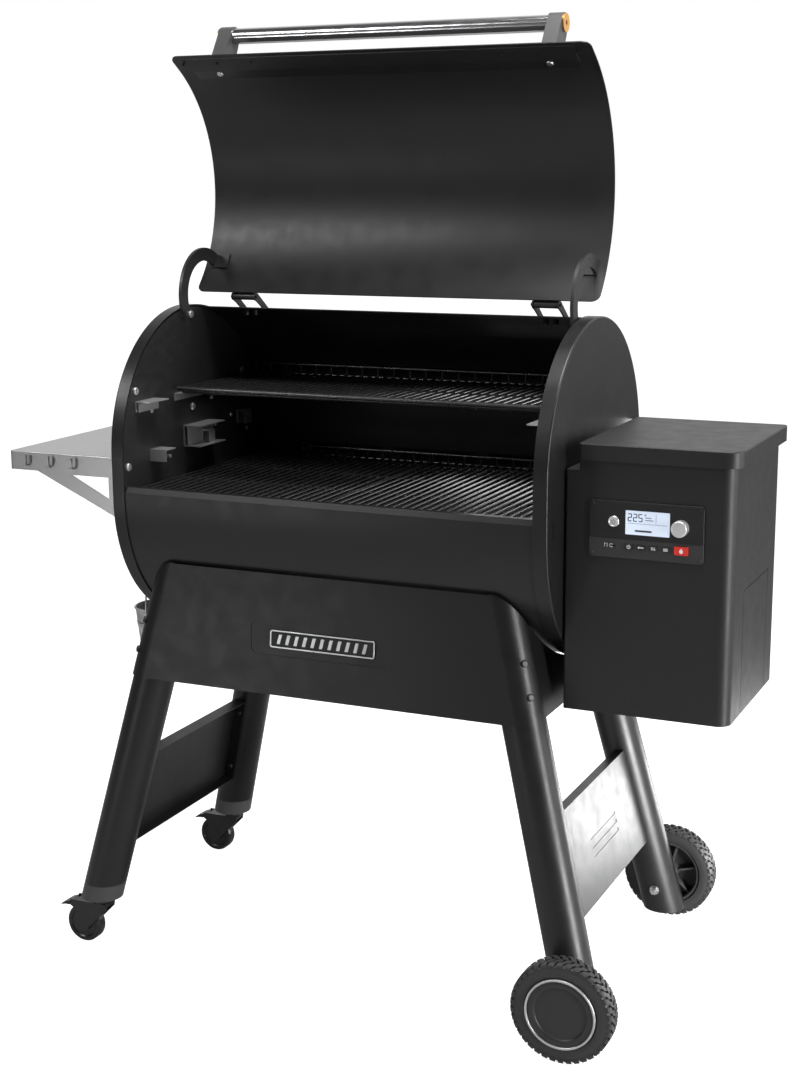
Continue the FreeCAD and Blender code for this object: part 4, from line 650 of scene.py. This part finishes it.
def menu(icon, u, v, depth):
    """Three level lines above each other."""
    width, half = 0.0038, 0.0004
    for rise in (-0.0018, 0.0, 0.0018):
        line = rectangle(u - width, u + width, v + rise - half, v + rise + half)
        icon.prism(line, *depth, panel_put)


KEY_ICONS = {1: clock, 2: probe, 3: steam, 4: menu}


def key_icon(number):
    """White picture on a menu key: clock, probe, steam or menu."""
    name = "menu_key_" + str(number)
    low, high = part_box(name)
    icon = Shape()
    KEY_ICONS[number](icon, *middle_of(low, high), key_ink(low))
    piece("icon_" + name, icon, MATERIALS["label"], "key_" + str(number), "key_plastic")


# Outline of a flame round its middle, in millimetres.
FLAME = [(0.0, -4.4), (2.2, -3.6), (3.2, -1.6), (2.6, 0.6), (1.2, 2.2), (1.0, 4.6),
         (-0.8, 3.2), (-1.6, 1.4), (-2.2, 1.8), (-3.2, -0.6), (-2.8, -2.8), (-1.6, -4.0)]


def ignite_icon():
    """Plain flame on the red key."""
    low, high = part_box("ignite_button")
    u, v = middle_of(low, high)
    flame = Shape()
    flame.prism([(u + a * MILLIMETRE, v + b * MILLIMETRE) for a, b in FLAME], *key_ink(low), panel_put)
    piece("icon_ignite", flame, MATERIALS["label"], "ignite", "ignite_red")


def jack_marks():
    """White outlines round the two probe jacks beside the menu keys."""
    low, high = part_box("menu_key_1")
    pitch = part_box("menu_key_2")[0].x - low.x
    u, v = middle_of(low, high)
    ring_u, slot_u = u - ROUND_JACK * pitch, u - SQUARE_JACK * pitch
    depth = (-0.0005, INK_RISE)
    marks = Shape()
    marks.frame(circle(ring_u, v, 0.0030, 24), circle(ring_u, v, 0.0023, 24), *depth, panel_put)
    left, right, top, foot = slot_u - 0.0026, slot_u + 0.0020, v + 0.003, v - 0.003
    strokes = [((left, foot), (left, top)), ((right, foot), (right, top)),
               ((left, top), (slot_u + 0.0023, top))]
    for p, q in strokes:
        marks.prism(bar(p, q, ICON_STROKE), *depth, panel_put)
    piece("jack_marks", marks, MATERIALS["label"], "base", "bezel_plastic")


def power_button():
    """Silver cap with a raised ring and the usual power sign."""
    low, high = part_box("power_button")
    u, v = middle_of(low, high)
    r = (high.x - low.x) / 2.0
    out = PANEL_Y - low.y
    back = PANEL_Y - high.y

    def put(radius, o, a):
        return panel_put(u + radius * math.cos(a), v + radius * math.sin(a), o)

    cap = Shape()
    cap.revolve([(0.0, back), (r, back), (r, out - 0.0008), (r - 0.0006, out - 0.0001),
                 (r - 0.0018, out - 0.0001), (r - 0.0022, out - 0.0007), (r - 0.0060, out - 0.0010),
                 (0.0, out - 0.0011)], put, segments=64)
    piece("power_cap", cap, MATERIALS["knob"], "power", "knob_metal", "power_button")
    sign = Shape()
    depth = (out - 0.0016, out - 0.0008)
    gap = math.radians(35.0)
    arc = [gap + (2.0 * math.pi - 2.0 * gap) * i / 24 for i in range(25)]
    outline = [(u + 0.0034 * math.sin(a), v + 0.0034 * math.cos(a)) for a in arc]
    outline += [(u + 0.0027 * math.sin(a), v + 0.0027 * math.cos(a)) for a in reversed(arc)]
    sign.prism(outline, *depth, panel_put)
    sign.prism(rectangle(u - 0.0004, u + 0.0004, v + 0.0008, v + 0.0040), *depth, panel_put)
    piece("power_sign", sign, MATERIALS["screen_ink"], "power", "knob_metal")


# ---------------------------------------------------------------- bucket

# Pail: its outer radius at the foot and under the rim, and the roll of the rim.
FOOT_RADIUS = 0.0380
RIM_RADIUS = 0.0520
ROLL_RADIUS = 0.0021
SHEET = 0.0011
WALL_STEPS = 60

# Beads: shares of the height, how far they stand out, and their width as a share of it.
BEADS = (0.30, 0.34, 0.74, 0.78)
BEAD_DEPTH = 0.0011
BEAD_WIDTH = 0.013

# Ears, whose studs the bail turns on: how far they lie under the top, and their radii.
EAR_DROP = 0.014
EAR_RADIUS = 0.0085
STUD_RADIUS = 0.0025


def wall_radius(t):
    """Outer radius of the pail at the share t of its height, with the beads."""
    bead = sum(BEAD_DEPTH * math.exp(-((t - c) / BEAD_WIDTH) ** 2) for c in BEADS)
    return FOOT_RADIUS + (RIM_RADIUS - FOOT_RADIUS) * t + bead


def pail_profile(foot, top):
    """Section of the pail as (radius, height): foot, outer wall, rolled rim, inner wall, floor."""
    height = top - foot
    base = [(0.0, foot + 0.0014), (FOOT_RADIUS - 0.007, foot + 0.0014), (FOOT_RADIUS - 0.005, foot),
            (FOOT_RADIUS - 0.0015, foot), (FOOT_RADIUS, foot + 0.0008)]
    outer = [(wall_radius(i / WALL_STEPS), foot + height * i / WALL_STEPS)
             for i in range(1, WALL_STEPS)]
    turns = [math.radians(-90 + 22.5 * k) for k in range(11)]
    rim = [(RIM_RADIUS + 0.0002 + ROLL_RADIUS * math.cos(a), top - 0.0010 + ROLL_RADIUS * math.sin(a))
           for a in turns]
    inner = [(r - SHEET, o) for r, o in reversed(outer)]
    floor = [(FOOT_RADIUS - 0.0025, foot + 0.0030), (0.0, foot + 0.0028)]
    return base + outer + rim + inner + floor


def bucket():
    """Galvanised pail with four swaged beads, a rolled rim and two ears with studs for the bail."""
    low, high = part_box("grease_bucket")
    u, v = (low.x + high.x) / 2.0, (low.y + high.y) / 2.0
    foot, top = low.z, high.z - 0.0012

    def put(r, o, a):
        return (u + r * math.cos(a), v + r * math.sin(a), o)

    pail = Shape()
    pail.revolve(pail_profile(foot, top), put)
    root = RIM_RADIUS - 0.0040
    for way in (-1.0, 1.0):
        def ear(p, q, w, way=way):
            return (u + p, v + way * w, top - EAR_DROP + q)

        pail.prism(circle(0.0, 0.0, EAR_RADIUS, 24), root, RIM_RADIUS + 0.0012, ear)
        pail.prism(circle(0.0, 0.0, STUD_RADIUS, 20), root, RIM_RADIUS + 0.0079, ear)
    piece("galvanised_pail", pail, MATERIALS["zinc"], "bucket", "bucket_zinc", "grease_bucket")


# ---------------------------------------------------------------- lid and name plate

# Front edge of the open lid: its turn about X, the way along the sheet from the lip to the
# handle bolts, and how far the middle of those bolts lies inward of the sheet.
LID_TILT = math.radians(-123.2)
BOLT_TO_LIP = 0.050
BOLT_HEIGHT = 0.00305

# Stiffening strip: its gap to each end of the lid, and its rivets, which stand in threes.
STRIP_INSET = 0.030
RIVET_INSET = 0.06
RIVET_PITCH = 0.07
RIVET_LINE = 0.020
RIVET_RADIUS = 0.0022
RIVET_FOOT, RIVET_TOP = 0.0004, 0.0064

# Name plate, which leans back with the skirt: its outline, its rim and the bars on it.
SKIRT_LEAN = math.atan(0.095)
PLATE_HALF_HEIGHT = 0.0155
PLATE_CORNER = 0.004
TRIM_WIDTH = 0.0022
TRIM_CORNER = 0.0025
TRIM_HEIGHT = 0.0016
BAR_PITCH = 0.0165


def lid_stiffener():
    """Folded strip along the inside of the lid's front edge, which the handle bolts clamp."""
    low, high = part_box("lid_bolts")
    left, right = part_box("lid_shell")[0].x + STRIP_INSET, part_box("lid_shell")[1].x - STRIP_INSET
    middle = (low + high) / 2.0
    along = Vector((0.0, -math.sin(LID_TILT), math.cos(LID_TILT)))
    inward = Vector((0.0, math.cos(LID_TILT), math.sin(LID_TILT)))

    def put(s, h, x):
        """A point that is s up the sheet from the lip, h inward of the sheet, and at x."""
        p = middle + along * (s - BOLT_TO_LIP) + inward * (h - BOLT_HEIGHT)
        return (x, p.y, p.z)

    strip = Shape()
    strip.prism([(0.007, -0.0002), (0.008, 0.0016), (0.038, 0.0048), (0.041, 0.0046), (0.066, 0.0020),
                 (0.066, 0.0010), (0.041, 0.0006)], left, right, put)
    for centre in (left + RIVET_INSET, (left + right) / 2.0, right - RIVET_INSET):
        for shift in (-RIVET_PITCH, 0.0, RIVET_PITCH):
            def rivet(s, across, h, x=centre + shift):
                return put(s, h, x + across)

            strip.prism(circle(RIVET_LINE, 0.0, RIVET_RADIUS, 16), RIVET_FOOT, RIVET_TOP, rivet)
    piece("lid_stiffener", strip, MATERIALS["lid"], "lid", "barrel_paint")


def badge():
    """Name plate left without a name: a dark field, a bright rim and a row of plain bars."""
    low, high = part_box("badge_plate")
    middle = (low + high) / 2.0
    up = Vector((0.0, math.sin(SKIRT_LEAN), math.cos(SKIRT_LEAN)))
    out = Vector((0.0, -math.cos(SKIRT_LEAN), math.sin(SKIRT_LEAN)))

    def put(u, v, w):
        return tuple(middle + Vector((u, 0.0, 0.0)) + up * v + out * w)

    half_w, half_h = (high.x - low.x) / 2.0, PLATE_HALF_HEIGHT
    edge = rectangle(-half_w, half_w, -half_h, half_h, PLATE_CORNER)
    field = Shape()
    field.prism(edge, -0.0016, 0.0004, put)
    piece("badge_field", field, MATERIALS["hopper"], "base", "chassis_paint", "badge_plate")
    trim = Shape()
    window = rectangle(TRIM_WIDTH - half_w, half_w - TRIM_WIDTH, TRIM_WIDTH - half_h,
                       half_h - TRIM_WIDTH, TRIM_CORNER)
    trim.frame(edge, window, 0.0, TRIM_HEIGHT, put)
    for k in range(-5, 6):
        u = k * BAR_PITCH
        slanted_bar = [(u - 0.0052, -0.0085), (u + 0.0010, -0.0085),
                       (u + 0.0052, 0.0085), (u - 0.0010, 0.0085)]
        trim.prism(slanted_bar, 0.0, TRIM_HEIGHT, put)
    piece("badge_trim", trim, MATERIALS["badge"], "base", "badge_metal", bevel=0.0003)


# ---------------------------------------------------------------- studio

WHITE = (1.0, 1.0, 1.0, 1.0)
FLOOR_SIZE = 60.0
FLOOR_GLOW = 0.93
FLOOR_GREY = (0.45, 0.45, 0.45)

# What the grill mirrors of the room grows from the front glow to the back glow while the Y
# of its direction grows from the first limit to the second.
FRONT_GLOW, BACK_GLOW = 0.05, 0.95
FRONT_LIMIT, BACK_LIMIT = -0.1, 0.95

# Angles in degrees: turned to the left of +Y, down from level, and rolled. Lens in millimetres.
CAMERA_PLACE = Vector((1.3044, -2.8243, 1.4386))
CAMERA_AZIMUTH = 24.50
CAMERA_DOWN = 12.02
CAMERA_ROLL = -0.354
LENS = 57.94


def make_camera():
    """Camera that sees the grill from its front right, a little from above."""
    azimuth, down, roll = (math.radians(a) for a in (CAMERA_AZIMUTH, CAMERA_DOWN, CAMERA_ROLL))
    forward = Vector((-math.sin(azimuth) * math.cos(down), math.cos(azimuth) * math.cos(down),
                      -math.sin(down)))
    level = Vector((math.cos(azimuth), math.sin(azimuth), 0.0))
    up = level.cross(forward)
    right = math.cos(roll) * level + math.sin(roll) * up
    up = right.cross(forward)
    data = bpy.data.cameras.new("camera")
    data.lens = LENS
    camera = bpy.data.objects.new("camera", data)
    scene.collection.objects.link(camera)
    turn = Matrix((right, up, -forward)).transposed().to_4x4()
    camera.matrix_world = Matrix.Translation(CAMERA_PLACE) @ turn
    scene.camera = camera


def softbox(name, place_at, aim, width, height, power, beam=180.0):
    """Rectangular light at place_at that faces aim; power in watts, beam in degrees."""
    data = bpy.data.lights.new(name, "AREA")
    data.shape = "RECTANGLE"
    data.size = width
    data.size_y = height
    data.energy = power
    data.spread = math.radians(beam)
    lamp = bpy.data.objects.new(name, data)
    scene.collection.objects.link(lamp)
    lamp.location = place_at
    lamp.visible_camera = False
    lamp.rotation_euler = (Vector(aim) - Vector(place_at)).to_track_quat("-Z", "Y").to_euler()


def studio_world():
    """Pale all round to the eye; what the grill mirrors is bright behind it and dim in front."""
    world = bpy.data.worlds.new("studio")
    scene.world = world
    world.use_nodes = True
    tree = world.node_tree
    pale = tree.nodes["Background"]
    pale.inputs["Color"].default_value = WHITE
    pale.inputs["Strength"].default_value = 1.0
    room = tree.nodes.new("ShaderNodeBackground")
    room.inputs["Color"].default_value = WHITE
    direction = tree.nodes.new("ShaderNodeTexCoord")
    split = tree.nodes.new("ShaderNodeSeparateXYZ")
    tree.links.new(direction.outputs["Generated"], split.inputs["Vector"])
    ramp = tree.nodes.new("ShaderNodeMapRange")
    ramp.interpolation_type = "SMOOTHSTEP"
    ramp.inputs["From Min"].default_value = FRONT_LIMIT
    ramp.inputs["From Max"].default_value = BACK_LIMIT
    ramp.inputs["To Min"].default_value = FRONT_GLOW
    ramp.inputs["To Max"].default_value = BACK_GLOW
    tree.links.new(split.outputs["Y"], ramp.inputs["Value"])
    tree.links.new(ramp.outputs["Result"], room.inputs["Strength"])
    ray = tree.nodes.new("ShaderNodeLightPath")
    choose = tree.nodes.new("ShaderNodeMixShader")
    tree.links.new(ray.outputs["Is Camera Ray"], choose.inputs["Fac"])
    for number, background in zip(MIX_SHADERS, (room, pale)):
        tree.links.new(background.outputs["Background"], choose.inputs[number])
    tree.links.new(choose.outputs["Shader"], tree.nodes["World Output"].inputs["Surface"])


def make_floor():
    """Paper that is white to the eye and grey in what the grill mirrors."""
    floor_mesh = bpy.data.meshes.new("floor")
    half = FLOOR_SIZE / 2.0
    corners = [(-half, -half, 0.0), (half, -half, 0.0), (half, half, 0.0), (-half, half, 0.0)]
    floor_mesh.from_pydata(corners, [], [(0, 1, 2, 3)])
    floor = bpy.data.objects.new("floor", floor_mesh)
    scene.collection.objects.link(floor)
    paper = material("pale_floor", FLOOR_GREY, 0.9)
    shader_of(paper).inputs["Emission Color"].default_value = WHITE
    ray = add(paper, "ShaderNodeLightPath")
    glow = spread(paper, ray.outputs["Is Camera Ray"], 0.0, FLOOR_GLOW, source=(0.0, 1.0))
    link(paper, glow, shader_of(paper).inputs["Emission Strength"])
    floor_mesh.materials.append(paper)


def make_studio():
    """Floor, room and soft lights; the eye does not see the lights themselves."""
    make_floor()
    studio_world()
    softbox("top_light", (0.6, -0.4, 3.4), (0.1, 0.0, 0.8), 1.4, 1.0, 112.0)
    softbox("right_light", (3.2, 0.9, 1.6), (0.4, 0.0, 0.9), 1.4, 2.4, 54.0)
    softbox("strip_light", (2.6, -0.85, 0.75), (0.6, -0.2, 0.75), 0.22, 1.7, 58.0)
    softbox("low_right_light", (0.98, 1.08, 0.11), (0.42, 0.0, 0.25), 0.6, 0.2, 0.42, 42.0)
    softbox("leg_light", (1.5, -0.3, 0.2), (0.5, 0.3, 0.12), 0.5, 0.3, 4.5, 60.0)
    softbox("front_left_light", (-2.0, -3.4, 0.25), (-0.3, -0.3, 0.5), 0.8, 0.3, 7.0)
    softbox("high_left_light", (-1.8, -2.0, 2.8), (0.1, 0.0, 1.0), 1.6, 0.5, 42.0)
    softbox("grate_light", (0.24, 0.215, 0.965), (0.24, -0.3, 0.80), 0.34, 0.06, 0.2)
    scene.view_settings.view_transform = "Standard"


# ---------------------------------------------------------------- build

finish_cad_nodes()
for place_name in ("front", "rear"):
    tyre(place_name)
    hub(place_name)
screen()
for key_number in (1, 2, 3, 4):
    key_icon(key_number)
ignite_icon()
jack_marks()
power_button()
badge()
bucket()
lid_stiffener()
make_studio()
make_camera()

bpy.context.view_layer.update()
